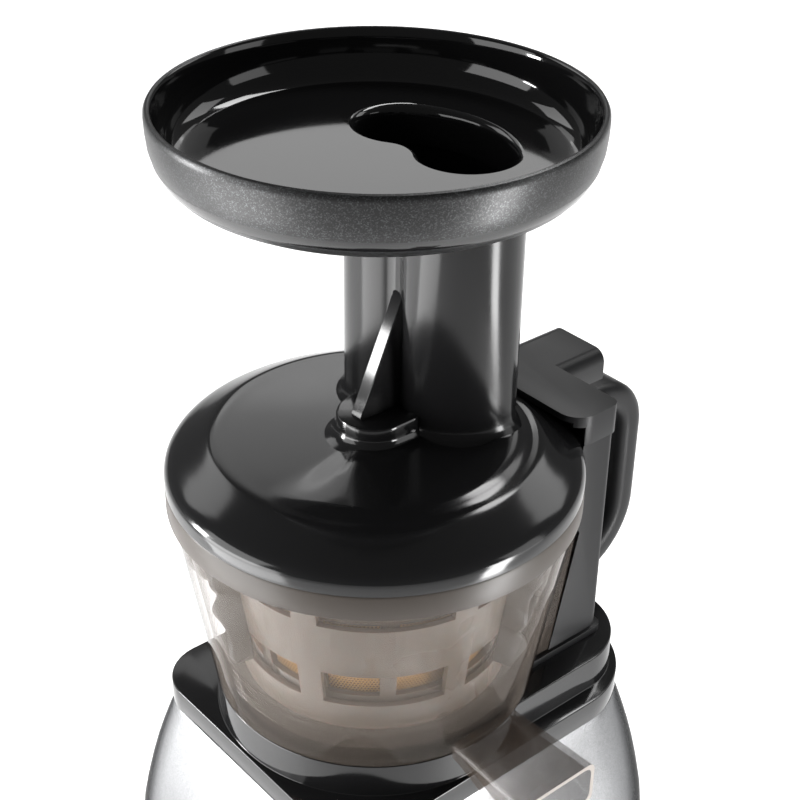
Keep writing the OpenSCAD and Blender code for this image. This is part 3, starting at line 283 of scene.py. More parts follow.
# The tray's inside has the best polish of all, and mirrors like lacquer.
finishes["tray_black"] = moulded("polished_tray_abs", "#0c0c0d", 0.07, 0.8, 0.001, 0.02)
print("outer plastics:", sorted(finishes))

# %% The inner plastics, rubber and silicone
# Polyetherimide with glass fibres: matt warm grey, as the short fibres roughen its skin.
finishes["auger_grey"] = moulded("glass_filled_polyetherimide", "#3a3633", 0.38, 0.5, 0.01)
# ABS from a grained mould: plain black with a dull sheen.
finishes["black_plastic"] = moulded("moulded_black_abs", "#151516", 0.5, 0.4, 0.02)
# Acetal without pigment: waxy off-white, for gears.
finishes["natural_plastic"] = moulded("natural_acetal", "#d9d5cb", 0.4, 0.5, 0.006)
# Red ABS from a polished mould: it marks what a hand works.
finishes["red_plastic"] = moulded("polished_red_abs", "#9c1a14", 0.2, 0.6, 0.003)
# Rubber pressed in a blasted mould: no gloss, only a faint grey at grazing angles.
finishes["rubber_black"] = moulded("moulded_rubber", "#161616", 0.75, 0.4, 0.03)
# Pigmented silicone, always a little wet in use: dark brown with round highlights.
finishes["silicone_brown"] = moulded("brown_silicone", "#140f0c", 0.3, 0.8, 0.002)
# Silicone without pigment: milky, with a soft gloss.
finishes["silicone_clear"] = moulded("milky_silicone", "#d5d2cb", 0.4, 0.6, 0.01)
# Glass cloth in epoxy under green lacquer: smooth, with the weave just felt.
finishes["circuit_board"] = moulded("lacquered_glass_epoxy", "#1c5a3a", 0.3, 0.8, 0.004)
print("moulded finishes:", len(finishes))

# %% [markdown]
# ## Silver lacquer
# The base is an ABS shell sprayed with silver lacquer: aluminium flakes lie nearly flat in a thin
# clear coat. They scatter each highlight, which makes the broad soft glow of the front. A plain
# metal shader would be too even, so each flake is a Voronoi cell with a brightness of its own.
# Real flakes are some 0.03 mm wide and are drawn as 0.16 mm, because finer ones wouldn't show.
# Flat flakes also darken where one looks along the surface, and Layer Weight does that. The darker
# outline is partly that and partly painted shade.

# %% A flaked lacquer
LACQUER_DRIFT_MM = 60


def flaked(name, colour, edge, roughness, flake_mm, spread, **settings):
    """colour is seen face on and edge at grazing angles; spread is how much flakes differ."""
    finish, tree, shader = new_finish(name, colour, roughness, **settings)
    place = add(tree, "ShaderNodeTexCoord")
    flakes = add(tree, "ShaderNodeTexVoronoi", {"Vector": place.outputs["Object"]},
                 scale=1000 / flake_mm)
    bright = add(tree, "ShaderNodeMapRange", {"Value": flakes.outputs["Color"]},
                 from_min=0.0, from_max=1.0, to_min=0.0, to_max=spread)
    tone = add(tree, "ShaderNodeMix", {"Factor": bright.outputs["Result"], "A": linear(colour),
                                       "B": linear("#ffffff")}, data_type="RGBA")
    # Towards the outline the colour turns to edge: partly the flakes' own darkening, partly
    # painted shade.
    weight = add(tree, "ShaderNodeLayerWeight", blend=0.5)
    side = add(tree, "ShaderNodeMapRange", {"Value": weight.outputs["Facing"]},
               from_min=0.62, from_max=0.96, to_min=0.0, to_max=1.0)
    shade = add(tree, "ShaderNodeMix", {"Factor": side.outputs["Result"],
                                        "A": tone.outputs["Result"], "B": linear(edge)},
                data_type="RGBA")
    tree.links.new(shade.outputs["Result"], shader.inputs["Base Color"])
    broad = add(tree, "ShaderNodeTexNoise", {"Vector": place.outputs["Object"]},
                scale=1000 / LACQUER_DRIFT_MM, detail=2.0)
    gloss = add(tree, "ShaderNodeMapRange", {"Value": broad.outputs["Fac"]},
                from_min=0.3, from_max=0.7, to_min=roughness - 0.015, to_max=roughness + 0.015)
    tree.links.new(gloss.outputs["Result"], shader.inputs["Roughness"])
    return finish


# Lacquer with aluminium flakes: light where it faces the lamps, dark grey towards its outline,
# which is partly the flakes' own darkening and partly painted shade.
finishes["silver_paint"] = flaked("silver_lacquer_on_abs", "#717274", "#2e2f30", 0.27, 0.16, 0.3,
                                  Metallic=0.9, Specular_Tint=(0.15, 0.15, 0.15, 1))
# Stacked steel sheets under brown varnish: a half-metallic brown with uneven patches.
finishes["motor_core"] = flaked("varnished_lamination", "#5d4031", "#3a2820", 0.45, 0.8, 0.12,
                                Metallic=0.5)
print("flaked finishes:", finishes["silver_paint"].name, finishes["motor_core"].name)

# %% [markdown]
# ## Turned and cast metal
# Shafts, bearings and screws come from a lathe, whose tool leaves fine rings one above the other.
# An anisotropic shader could hint at them. A noise that is squeezed in height draws them, and it
# gives the bump and the gloss at once.

# %% A metal surface
MARKS_ROUND = 60  # marks in a metre along a ring, where the metal hardly changes


def turned_metal(name, colour, roughness, line_mm):
    """line_mm is how far apart the tool's rings lie."""
    finish, tree, shader = new_finish(name, colour, roughness, Metallic=1.0)
    place = add(tree, "ShaderNodeTexCoord")
    stretch = add(tree, "ShaderNodeMapping", {"Vector": place.outputs["Object"]},
                  scale=(MARKS_ROUND, MARKS_ROUND, 1000 / line_mm))
    rings = add(tree, "ShaderNodeTexNoise", {"Vector": stretch.outputs["Vector"]},
                scale=1.0, detail=3.0)
    gloss = add(tree, "ShaderNodeMapRange", {"Value": rings.outputs["Fac"]},
                from_min=0.3, from_max=0.7, to_min=roughness - 0.08, to_max=roughness + 0.1)
    tree.links.new(gloss.outputs["Result"], shader.inputs["Roughness"])
    relief = add(tree, "ShaderNodeBump", {"Height": rings.outputs["Fac"]},
                 strength=0.3, distance=0.01 * MM)
    tree.links.new(relief.outputs["Normal"], shader.inputs["Normal"])
    return finish


# Stainless steel from a lathe: bright, with fine level lines.
finishes["steel"] = turned_metal("turned_stainless_steel", "#b9babc", 0.28, 0.12)
# Aluminium from a casting die: duller, and its marks are coarse.
finishes["cast_alloy"] = turned_metal("die_cast_aluminium", "#a5a7aa", 0.45, 0.5)
print("metals:", finishes["steel"].name, finishes["cast_alloy"].name)

# %% [markdown]
# ## Smoked clear plastic
# The bowl and both outlets are moulded in clear copolyester with a warm smoke tint. Real glass
# shading with refraction is slow and grainy through five walls, one behind the other. So the
# walls are see-through by alpha, and Layer Weight does what a tinted wall does: where one looks
# along it, light passes through more of it, and it is denser, darker and less shiny there.

# %% Clear mouldings
def clear_moulding(name, face, edge, roughness, thin, thick, ripple_mm=9.0, ripple=0.02):
    """thin and thick are how much the wall hides face on and edge on; ripple is its waviness."""
    finish, tree, shader = new_finish(name, face, roughness, IOR=1.5)
    weight = add(tree, "ShaderNodeLayerWeight", blend=0.5)
    side = add(tree, "ShaderNodeMapRange", {"Value": weight.outputs["Facing"]},
               from_min=0.74, from_max=0.93, to_min=0.0, to_max=1.0)
    dense = add(tree, "ShaderNodeMapRange", {"Value": side.outputs["Result"]},
                from_min=0.0, from_max=1.0, to_min=thin, to_max=thick)
    tree.links.new(dense.outputs["Result"], shader.inputs["Alpha"])
    shine = add(tree, "ShaderNodeMapRange", {"Value": side.outputs["Result"]},
                from_min=0.0, from_max=1.0, to_min=0.4, to_max=0.04)
    tree.links.new(shine.outputs["Result"], shader.inputs["Specular IOR Level"])
    tone = add(tree, "ShaderNodeMix", {"Factor": side.outputs["Result"], "A": linear(face),
                                       "B": linear(edge)}, data_type="RGBA")
    tree.links.new(tone.outputs["Result"], shader.inputs["Base Color"])
    place = add(tree, "ShaderNodeTexCoord")
    wave = add(tree, "ShaderNodeTexNoise", {"Vector": place.outputs["Object"]},
               scale=1000 / ripple_mm, detail=1.0)
    relief = add(tree, "ShaderNodeBump", {"Height": wave.outputs["Fac"]},
                 strength=0.4, distance=ripple * MM)
    tree.links.new(relief.outputs["Normal"], shader.inputs["Normal"])
    return finish


# Copolyester from a polished mould: clear face on, with dark brown sides.
finishes["smoked_clear"] = clear_moulding("smoked_copolyester", "#857b72", "#17110e",
                                          0.05, 0.15, 0.88)
# The outlets are short and narrow, so one looks through more walls, and they are darker.
finishes["outlet_clear"] = clear_moulding("smoked_outlet_copolyester", "#4d443d", "#1b1613",
                                          0.06, 0.4, 0.97)
# The bowl's rim comes from an eroded part of the mould: frosted and nearly opaque.
finishes["frosted_clear"] = clear_moulding("frosted_copolyester", "#4a443f", "#3b3632",
                                           0.36, 0.85, 0.97, 0.7, 0.05)
# Along a rounded edge light is trapped in the wall, and the edge is a dark shiny line.
finishes["outlet_edge"] = moulded("smoked_copolyester_edge", "#3a332e", 0.08, 0.5, 0.001, 0.02)
# At the mouth the light leaves the wall again, and its face is a pale line.
finishes["outlet_rim"] = moulded("smoked_copolyester_mouth", "#8d867f", 0.2, 0.5, 0.002)
# Frosted copolyester lets light in and scatters it: the strainer and the brush glow softly.
finishes["clear_grey"] = moulded("translucent_grey_copolyester", "#625951", 0.3, 0.6, 0.004,
                                 Subsurface_Weight=0.3, Subsurface_Scale=0.004)
print("clear finishes:", sorted(name for name in finishes if "clear" in name))

# %% [markdown]
# ## Perforated strainer
# The strainer is a thin steel sheet with rows of etched holes, and looks a warm tan. Its holes
# are far too many to cut. They are drawn round the cone instead: the angle about the axis and
# the height give columns and rows, and every second row is shifted by half a hole. Real holes
# are some 0.4 mm apart, too fine to show here, so they are drawn 1.3 mm apart.

# %% The perforated sheet
ROW_TO_PITCH = 0.866  # in a pattern of even triangles the rows lie this much closer


def perforated(name, colour, hole, pitch_mm, radius_mm):
    """hole is the holes' colour; radius_mm is the cone's, where the pitch is true."""
    finish, tree, shader = new_finish(name, colour, 0.35, Metallic=0.7)
    math_node = "ShaderNodeMath"
    place = add(tree, "ShaderNodeTexCoord")
    centred = add(tree, "ShaderNodeMapping", {"Vector": place.outputs["Object"]},
                  location=(-AXIS.x, -AXIS.y, 0))
    xyz = add(tree, "ShaderNodeSeparateXYZ", {"Vector": centred.outputs["Vector"]})
    angle = add(tree, math_node, {0: xyz.outputs["Y"], 1: xyz.outputs["X"]}, operation="ARCTAN2")
    row = add(tree, math_node, {0: xyz.outputs["Z"], 1: 1000 / (pitch_mm * ROW_TO_PITCH)},
              operation="MULTIPLY")
    whole = add(tree, math_node, {0: row.outputs[0]}, operation="FLOOR")
    odd = add(tree, math_node, {0: whole.outputs[0], 1: 2.0}, operation="MODULO")
    count = round(2 * math.pi * radius_mm / pitch_mm)
    turns = add(tree, math_node, {0: angle.outputs[0], 1: count / (2 * math.pi)},
                operation="MULTIPLY")
    column = add(tree, math_node, {0: odd.outputs[0], 1: 0.5, 2: turns.outputs[0]},
                 operation="MULTIPLY_ADD")
    squares = []
    for cell in (column, row):
        inner = add(tree, math_node, {0: cell.outputs[0]}, operation="FRACT")
        offset = add(tree, math_node, {0: inner.outputs[0], 1: 0.5}, operation="SUBTRACT")
        squares.append(add(tree, math_node, {0: offset.outputs[0], 1: offset.outputs[0]},
                           operation="MULTIPLY"))
    total = add(tree, math_node, {0: squares[0].outputs[0], 1: squares[1].outputs[0]},
                operation="ADD")
    distance = add(tree, math_node, {0: total.outputs[0]}, operation="SQRT")
    inside = add(tree, "ShaderNodeMapRange", {"Value": distance.outputs[0]},
                 from_min=0.24, from_max=0.32, to_min=1.0, to_max=0.0)
    tone = add(tree, "ShaderNodeMix", {"Factor": inside.outputs["Result"], "A": linear(colour),
                                       "B": linear(hole)}, data_type="RGBA")
    tree.links.new(tone.outputs["Result"], shader.inputs["Base Color"])
    relief = add(tree, "ShaderNodeBump", {"Height": inside.outputs["Result"]},
                 strength=0.6, distance=0.2 * MM, invert=True)
    tree.links.new(relief.outputs["Normal"], shader.inputs["Normal"])
    return finish


# Etched steel with a gold tone: small dark holes in a warm sheet.
finishes["gold_mesh"] = perforated("etched_tan_steel", "#c79a5c", "#4a3520", 1.3, 48)
print("finishes:", len(finishes))

# %% [markdown]
# ## Lit floor
# A sheet of white acrylic is lit from below, so the ground is white without a shadow's edge.
# A lamp under the floor would need a see-through floor, and a weak glow of its own does the same.

# %% Finish the floor
acrylic = moulded("lit_white_acrylic", "#f4f4f4", 0.9, 3.0, 0.02, 0.05,
                  Emission_Color=(1, 1, 1, 1), Emission_Strength=0.55)
floor.data.materials.append(acrylic)
print("floor finish:", acrylic.name)

# %% [markdown]
# ## Every solid gets its finish
# Each of the juicer's solids is listed with the material slot that it is made in. Finishes could
# be given one by one, but that list dresses all of the solids at once, so the motor, the gears
# and the screws inside are finished too.

# %% Dress the solids
slot_of = {entry["node"]: entry["material_slot"] for entry in frame["record"]["subparts"]}
for name, solid in nodes.items():
    finish = finishes[slot_of[name]]
    if not solid.data.materials:
        solid.data.materials.append(finish)
    for i in range(len(solid.data.materials)):
        solid.data.materials[i] = finish
print("dressed", len(slot_of), "solids in", len(set(slot_of.values())), "finishes")

# %% [markdown]
# ## Tools for modelling
# Three moves make most of the juicer, and each is also a move by hand. An outline is traced by
# extruding one point on and on. A turned part spins such an outline about the bowl's axis. A
# skinned part extrudes a closed ring again and again, and sets each new ring to its own place.

# %% Trace an outline and turn it
DOUBLE = 0.002 * MM  # points that are closer than this are one


def begin(name, points):
    """Starts a piece with one open line through the points, and stays in edit mode."""
    deselect()
    bpy.ops.mesh.primitive_plane_add(size=0.01, location=(0, 0, 0))
    piece = bpy.context.object
    piece.name = name
    piece.data.name = name
    bpy.ops.object.mode_set(mode="EDIT")
    bpy.ops.mesh.select_all(action="SELECT")
    bpy.ops.mesh.merge(type="CENTER")
    bpy.ops.transform.translate(value=points[0])
    for here, there in zip(points, points[1:]):
        bpy.ops.mesh.extrude_region_move(TRANSFORM_OT_translate={"value": there - here})
    return piece


def end(piece, smooth=40):
    """Merges doubled points, turns the faces outwards and shades the piece."""
    bpy.ops.mesh.select_all(action="SELECT")
    bpy.ops.mesh.remove_doubles(threshold=DOUBLE)
    bpy.ops.mesh.normals_make_consistent(inside=False)
    bpy.ops.object.mode_set(mode="OBJECT")
    bpy.ops.object.shade_smooth_by_angle(angle=math.radians(smooth))
    return piece


def turned(name, profile, steps):
    """profile is a closed line of (radius, height) in millimetres, turned about the axis."""
    points = [at(r, 0, z) for r, z in profile]
    piece = begin(name, points + [points[0]])
    bpy.ops.mesh.select_all(action="SELECT")
    bpy.ops.mesh.spin(steps=steps, angle=2 * math.pi, center=AXIS, axis=(0, 0, 1))
    return end(piece)


print("points merge below", DOUBLE / MM, "mm")

# %% Skin a piece through rings
def place_key(point):
    return tuple(round(c, 6) for c in point)


def skinned(name, rings, around=False, smooth=40):
    """rings are lists of points, all of one length; around joins the last ring to the first."""
    rings = rings + ([rings[0]] if around else [])
    piece = begin(name, rings[0] + [rings[0][0]])
    bpy.ops.mesh.select_all(action="SELECT")
    bpy.ops.mesh.remove_doubles(threshold=DOUBLE)
    for here, there in zip(rings, rings[1:]):
        order = {place_key(point): k for k, point in enumerate(here)}
        bpy.ops.mesh.extrude_region_move()
        mesh = bmesh.from_edit_mesh(piece.data)
        for point in [v for v in mesh.verts if v.select]:
            point.co = there[order[place_key(point.co)]]
        bmesh.update_edit_mesh(piece.data)
    return piece if smooth is None else end(piece, smooth)


def capped(name, rings, smooth=40):
    """A skinned piece with both of its end rings filled."""
    piece = skinned(name, rings, smooth=None)
    bpy.ops.mesh.select_all(action="SELECT")
    bpy.ops.mesh.remove_doubles(threshold=DOUBLE)
    bpy.ops.mesh.select_all(action="DESELECT")
    bpy.ops.mesh.select_non_manifold(extend=False)
    bpy.ops.mesh.edge_face_add()
    return end(piece, smooth)


print("a point's place as a key:", place_key(at(1, 2, 3)))

# %% [markdown]
# ## Tools for finishing
# A moulded edge is never sharp, because a sharp mould chips. A Bevel modifier rounds it and is
# applied at once. Edges could be beveled in edit mode as well, but the modifier finds them by
# their angle. A Boolean cuts one piece with another. Where a solid's shape is right already and
# only its edges are too hard, a copy of it is merged and beveled.

# %% Round, cut and join
def apply_modifier(piece, kind, **settings):
    deselect()
    bpy.context.view_layer.objects.active = piece
    piece.select_set(True)
    change = piece.modifiers.new(kind.lower(), kind)
    for key, value in settings.items():
        setattr(change, key, value)
    bpy.ops.object.modifier_apply(modifier=change.name)
    return piece


def rounded(piece, width_mm, segments, angle=35):
    apply_modifier(piece, "BEVEL", width=width_mm * MM, segments=segments, limit_method="ANGLE",
                   angle_limit=math.radians(angle))
    bpy.ops.object.shade_smooth_by_angle(angle=math.radians(35))
    return piece


def cut(piece, cutter):
    apply_modifier(piece, "BOOLEAN", operation="DIFFERENCE", object=cutter, solver="EXACT")
    bpy.data.objects.remove(cutter)
    bpy.ops.object.shade_smooth_by_angle(angle=math.radians(35))
    return piece


def joined(pieces, name):
    deselect()
    for piece in pieces:
        piece.select_set(True)
    bpy.context.view_layer.objects.active = pieces[0]
    bpy.ops.object.join()
    pieces[0].name = name
    return pieces[0]


print("tools:", [tool.__name__ for tool in (rounded, cut, joined)])

# %% Soften a copy of a solid, and dress a piece
def softened(node, width_mm, segments=2):
    """A copy of a solid whose edges are rounded; it takes the solid's place."""
    solid = nodes[node]
    deselect()
    piece = solid.copy()
    piece.data = solid.data.copy()
    piece.parent = None
    piece.name = node + "_shaped"
    for key in list(piece.keys()):  # the marks of the solid don't belong on the copy
        del piece[key]
    bpy.context.scene.collection.objects.link(piece)
    piece.select_set(True)
    bpy.context.view_layer.objects.active = piece
    bpy.ops.object.mode_set(mode="EDIT")
    bpy.ops.mesh.select_all(action="SELECT")
    bpy.ops.mesh.remove_doubles(threshold=0.01 * MM)
    bpy.ops.mesh.dissolve_limited(angle_limit=math.radians(1))
    bpy.ops.object.mode_set(mode="OBJECT")
    return rounded(piece, width_mm, segments)


def dress(piece, finish, body, *replaced, slot=None):
    """Gives a piece its finish, lets it ride on its body and hides the solids it stands for."""
    piece.data.materials.clear()
    piece.data.materials.append(finishes[finish])
    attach(piece, body)
    if replaced:
        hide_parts(*replaced)
    print(piece.name, len(piece.data.polygons), "faces")
    return piece


print("solids to choose from:", len(nodes))

# %% [markdown]
# ## Outlines
# Two outlines come back again and again. The base and its cap have a rounded oblong plan, with
# tight corners in front and wide ones behind. The feed chute has a kidney plan: two round lobes,
# a bulging back and a hollow front. Both could be curves, but plain lists of points can grow and
# shrink evenly. All arcs of the kidney meet in tangents, so its wall shows no crease.

# %% The plans of the base and the chute
def arc(cx, cy, r, start, stop, steps):
    return [(cx + r * math.cos(math.radians(start + (stop - start) * i / steps)),
             cy + r * math.sin(math.radians(start + (stop - start) * i / steps)))
            for i in range(steps + 1)]


def oblong(half, front, back, front_r, back_r, steps=12):
    """half is half the width; front and back are how far it reaches; the rest are its corners."""
    return (arc(half - front_r, front_r - front, front_r, -90, 0, steps)
            + arc(half - back_r, back - back_r, back_r, 0, 90, steps)
            + arc(back_r - half, back - back_r, back_r, 90, 180, steps)
            + arc(front_r - half, front_r - front, front_r, 180, 270, steps))


def base_plan(grow):
    """The plan of the shell's top edge, grown evenly all round."""
    return oblong(61 + grow, 61 + grow, 92 + grow, 18 + grow, 34 + grow)


# The radius of a lobe, how far the lobes stand to the sides and back, and how far in front of
# them the centre of the two long arcs lies.
LOBE, LOBE_X, CHUTE_Y, ARC_BACK = 20.3, 16.0, 24.5, 23.1
LEAN = math.degrees(math.atan2(ARC_BACK, LOBE_X))


def kidney(grow):
    back = math.hypot(LOBE_X, ARC_BACK) + LOBE + grow
    front = math.hypot(LOBE_X, ARC_BACK) - LOBE - grow
    y = CHUTE_Y - ARC_BACK
    return (arc(LOBE_X, CHUTE_Y, LOBE + grow, LEAN - 180, LEAN, 22)
            + arc(0, y, back, LEAN, 180 - LEAN, 12)[1:]
            + arc(-LOBE_X, CHUTE_Y, LOBE + grow, 180 - LEAN, 360 - LEAN, 22)[1:]
            + arc(0, y, front, 180 - LEAN, LEAN, 10)[1:-1])


def ring(plan, z):
    return [at(x, y, z) for x, y in plan]


print("chute outline:", len(kidney(0)), "points")

# %% [markdown]
# ## Base shell
# The silver base is one injection-moulded shell. Under the black cap its sides fall steeply over
# a round shoulder, and then they lean out towards the worktop. A box with a big bevel would be
# too plain, so the shell is skinned through rings that grow with depth. A Solidify modifier
# gives it its wall, its lower rim is rolled in, and a Boolean opens the window for the switch.

# %% Skin the base shell
SHELL_TOP, SHELL_FLARE, SHELL_WALL = 150, 22, 2.8
SHOULDER_FROM, SHOULDER_TALL = 55, 40
SWITCH_WINDOW = Vector((30, 34.4, 24.4)) * MM


def clamped(share):
    return min(1, max(0, share))


def eased(share):
    """Runs from 0 to 1 with a soft start and a soft end."""
    share = clamped(share)
    return share * share * (3 - 2 * share)


def base_lean(z):
    """How far the wall stands out at a height; the shoulder makes the upper part rounder."""
    height = z / SHELL_TOP
    shoulder = eased((z - SHOULDER_FROM) / SHOULDER_TALL) * (height ** 2 - height ** 2.9)
    return SHELL_FLARE * (1 - height ** 2 + shoulder)


heights = [4, 4.3, 5.2, 6.8, 12, 24, 36, 48, 60, 72, 84, 96, 106, 116, 125, 133, 140, 145, 149,
           SHELL_TOP]
tuck = {4: 2.4, 4.3: 1.3, 5.2: 0.5, 6.8: 0.1, SHELL_TOP: 0.4}  # rolls both ends in
base = skinned("base_casing", [ring(base_plan(base_lean(z) - tuck.get(z, 0)), z) for z in heights])
apply_modifier(base, "SOLIDIFY", thickness=SHELL_WALL * MM, offset=-1.0, use_even_offset=True)
deselect()
bpy.ops.mesh.primitive_cube_add(size=1, location=at(-82, 0, 52))
cutter = bpy.context.object
cutter.scale = SWITCH_WINDOW
cut(base, cutter)
dress(base, "silver_paint", "base", "base_shell")

# %% [markdown]
# ## Black cap, collar and platform
# A glossy black cap closes the base. On it stand the round collar that the bowl drops into and
# the flat platform under the tower. They could be skinned anew, but the solid's shape is right
# already. Only its edges are broken by about a millimetre, so that they catch thin lines of light.

# %% Soften the cap
cap = softened("top_cap", 0.9, 3)
dress(cap, "black_gloss", "base", "top_cap")

# %% [markdown]
# ## Bowl
# The bowl is a wide cone of smoked plastic, with a spigot that drops into the collar and a thick
# frosted rim. It is round, so it is turned from one closed profile, which gives the inner and the
# outer wall at once. Faint grooves run round its lower inside, where the mould's core was turned.

# %% Turn the bowl
BOWL_FOOT, BOWL_GROWS, BOWL_BOTTOM, BOWL_TALL = 60.5, 12.9, 174, 78
BOWL_WALL, GROOVE = 2.6, 0.35


def bowl_r(z):
    """The bowl's outer radius at a height."""
    return BOWL_FOOT + BOWL_GROWS * (z - BOWL_BOTTOM) / BOWL_TALL


outer = [(56.95, 165), (57, 174), (60.2, 174.0), (60.7, 174.6)]
outer += [(bowl_r(z), z) for z in (176, 182, 190, 200, 212, 224, 236, 246, 251.6)]
inner = [(bowl_r(z) - BOWL_WALL, z) for z in (251.6, 246, 236, 224, 212, 200)]
for z in (196, 192, 188, 184.5):
    wall = bowl_r(z) - BOWL_WALL
    inner += [(wall, z + 0.5), (wall - GROOVE, z), (wall, z - 0.5)]
# The floor has two round lips: the brush turns on the outer one, and the drive comes up
# through the inner one.
inner += [(bowl_r(181) - 3.2, 181.2), (bowl_r(179) - 4.8, 179.4), (52.6, 179), (51.2, 179.2),
          (50.6, 182.6), (48.3, 182.6), (48, 179), (14.2, 179), (14, 182.6), (8.4, 182.6),
          (8.4, 178.2), (12.1, 178.1), (12.2, 176), (54.4, 176), (54.4, 165)]
bowl = turned("bowl_wall", outer + inner, 144)
dress(bowl, "smoked_clear", "bowl_set", "bowl")

# %% Turn the bowl's rim
rim_profile = [(73.45, 251.7), (74.4, 251.8), (75, 252.5), (75, 261), (74.6, 261.6),
               (71.4, 261.6), (70.9, 261), (70.8, 251.7)]
rim = turned("bowl_rim", rim_profile, 144)
dress(rim, "frosted_clear", "bowl_set", slot="smoked_clear")

# %% [markdown]
# ## Strips along the tower
# Two smoked strips stand on the bowl's wall and fill the front edges of the tower's sides. They
# follow a cone, so a straight bar would leave a gap. Each is skinned instead, and every ring of
# it is fitted to the wall at its own height. Above, the strips fade into the wall.

# %% Strips on the bowl's wall
STRIP_NEAR, STRIP_FAR, STRIP_DEEP = 40.1, 42.9, 6
FADE_FROM, FADE_TALL = 228, 8.2


def strip(side):
    """side is -1 for the left strip and 1 for the right one."""
    rings = []
    for z in (177.5, 185, 195, 205, 215, 225, 231, 234, 235):
        depth = STRIP_DEEP
        if z >= FADE_FROM:
            depth = max(1.2, STRIP_DEEP * (1 - ((z - FADE_FROM) / FADE_TALL) ** 2))
        plan = []
        for x, extra in ((STRIP_NEAR, -0.6), (STRIP_FAR, -0.6), (STRIP_FAR, depth),
                         (STRIP_NEAR, depth)):
            plan.append((side * x, math.sqrt((bowl_r(z) + extra) ** 2 - x * x)))
        rings.append(ring(plan, z))
    return capped("tower_strip", rings)


strips = joined([rounded(strip(side), 0.4, 2) for side in (-1, 1)], "tower_strips")
dress(strips, "smoked_clear", "bowl_set")

# %% [markdown]
# ## Seal in the bowl's floor
# A ring of milky silicone sits in the bowl's floor, round the hole for the drive, and keeps the
# juice in. It could be turned like the bowl, but its shape is right in the solid, and only its
# edges are rounded.

# %% Soften the seal
seal = softened("bowl_seal", 0.3)
dress(seal, "silicone_clear", "bowl_set", "bowl_seal")

# %% [markdown]
# ## Tower and hood
# The tower is a grey moulding that carries the hood and the handle. The hood reaches over the
# lid's rim and keeps it from lifting. Their flat faces are true in the solids, so copies of them
# are used, and only the edges are softened.

# %% Soften the tower and the hood
tower = softened("rear_tower", 1.2, 3)
dress(tower, "dark_grey", "bowl_set", "rear_tower")
hood = softened("hood", 1.1, 3)
dress(hood, "dark_grey", "bowl_set", "hood")

# %% [markdown]
# ## Handle
# A D-shaped handle closes the hand opening behind the tower. A bent tube would be round, but the
# real grip is a flat bar with rounded corners. So it is skinned: the section walks along the
# loop, always square to its path. A flat foot joins both ends to the tower.

# %% Sweep the handle
GRIP_HALF_WIDE, GRIP_HALF_THICK, GRIP_CORNER = 12, 5.9, 4.6


def sweep(name, path):
    """A rounded bar along path, a list of (y, z) in millimetres in the plane x = 0."""
    section = oblong(GRIP_HALF_WIDE, GRIP_HALF_THICK, GRIP_HALF_THICK, GRIP_CORNER, GRIP_CORNER, 5)
    rings = []
    for i, (y, z) in enumerate(path):
        y0, z0 = path[max(0, i - 1)]
        y1, z1 = path[min(len(path) - 1, i + 1)]
        length = math.hypot(y1 - y0, z1 - z0)
        ny, nz = (z1 - z0) / length, -(y1 - y0) / length
        rings.append([at(u, y + v * ny, z + v * nz) for u, v in section])
    return capped(name, rings, 50)


loop = [(79.4, 253), (84, 253), (92, 253), (102, 253)]
loop += [(108 + 18 * math.sin(math.radians(a)), 235 + 18 * math.cos(math.radians(a)))
         for a in range(-6, 91, 8)]
loop += [(126, 225), (126, 215), (126, 205)]
loop += [(98 + 28 * math.cos(math.radians(a)), 200 - 28 * math.sin(math.radians(a)))
         for a in range(4, 80, 7)]
loop += [(100, 173.6), (96, 176.5), (92, 181), (88, 183.6), (83, 184), (79.4, 184)]
grip = sweep("handle_bar", loop)
foot = capped("handle_foot", [[at(x, y, z) for x, z in oblong(11.4, -178.4, 258.6, 5, 5, 5)]
                              for y in (79.15, 81.9)])
dress(joined([grip, rounded(foot, 0.6, 2)], "handle_loop"), "dark_grey", "bowl_set", "handle")

# %% [markdown]
# ## Lid
# The lid has a rolled rim, a sloping shoulder and a nearly flat disc in the middle. It is round,
# so it is turned from one closed profile. In front on the right the disc swells a little and
# drops to the shoulder with a soft step, and the vertices there are lifted for it.

# %% Turn the lid
lid_profile = [(75, 262), (75, 265.2), (74.7, 266.6), (74, 267.8), (72.8, 269), (70.8, 270.3),
               (68, 271.8), (65, 273.4), (62, 275), (60, 275.95), (58.9, 276.4), (58, 276.65),
               (57, 276.78), (55.6, 276.85), (54.4, 276.88), (53, 276.9), (51.6, 276.93),
               (50.2, 276.96), (48.6, 277), (44, 277.1), (34, 277.3), (22, 277.5), (0.01, 277.6),
               (0.01, 275.2), (40, 274.9), (43.4, 271.2), (62, 271), (67.6, 267), (67.6, 265),
               (72.5, 265), (72.6, 262)]
lid = turned("lid_dome", lid_profile, 144)
DISC_Z, DISC_R, STEP_WIDE, SWELL_TALL = 276.45, 56, 6.5, 1.7
SWELL_FROM, SWELL_TO = -84, 110  # degrees: from the front, round the right side, to the back
for vert in lid.data.vertices:
    x, y = (vert.co - AXIS).xy / MM
    r, heading = math.hypot(x, y), math.degrees(math.atan2(y, x))
    swell = clamped((heading - SWELL_FROM) / 30) * clamped((SWELL_TO - heading) / 40)
    if vert.co.z > DISC_Z * MM:
        vert.co.z += SWELL_TALL * MM * eased(swell) * eased((DISC_R - r) / STEP_WIDE)
cut(lid, capped("lid_opening", [ring(kidney(-3.4), z) for z in (262, 290)]))
print("lid", len(lid.data.polygons), "faces, swell", SWELL_TALL, "mm")

# %% [markdown]
# ## Boss on the lid
# A low round boss stands in front of the chute, over the bush that holds the auger's top. It
# spreads into the disc in a small fillet, so it is skinned through rings that shrink upwards.

# %% Skin the boss
boss_plan = arc(0.6, -1.3, 13.2, 180, 360, 30) + arc(9.8, 6, 4, 8, 90, 6) + [(-12.6, 10)]
BOSS_Y, BOSS_HALF_X, BOSS_HALF_Y = 4.0, 12.3, 14


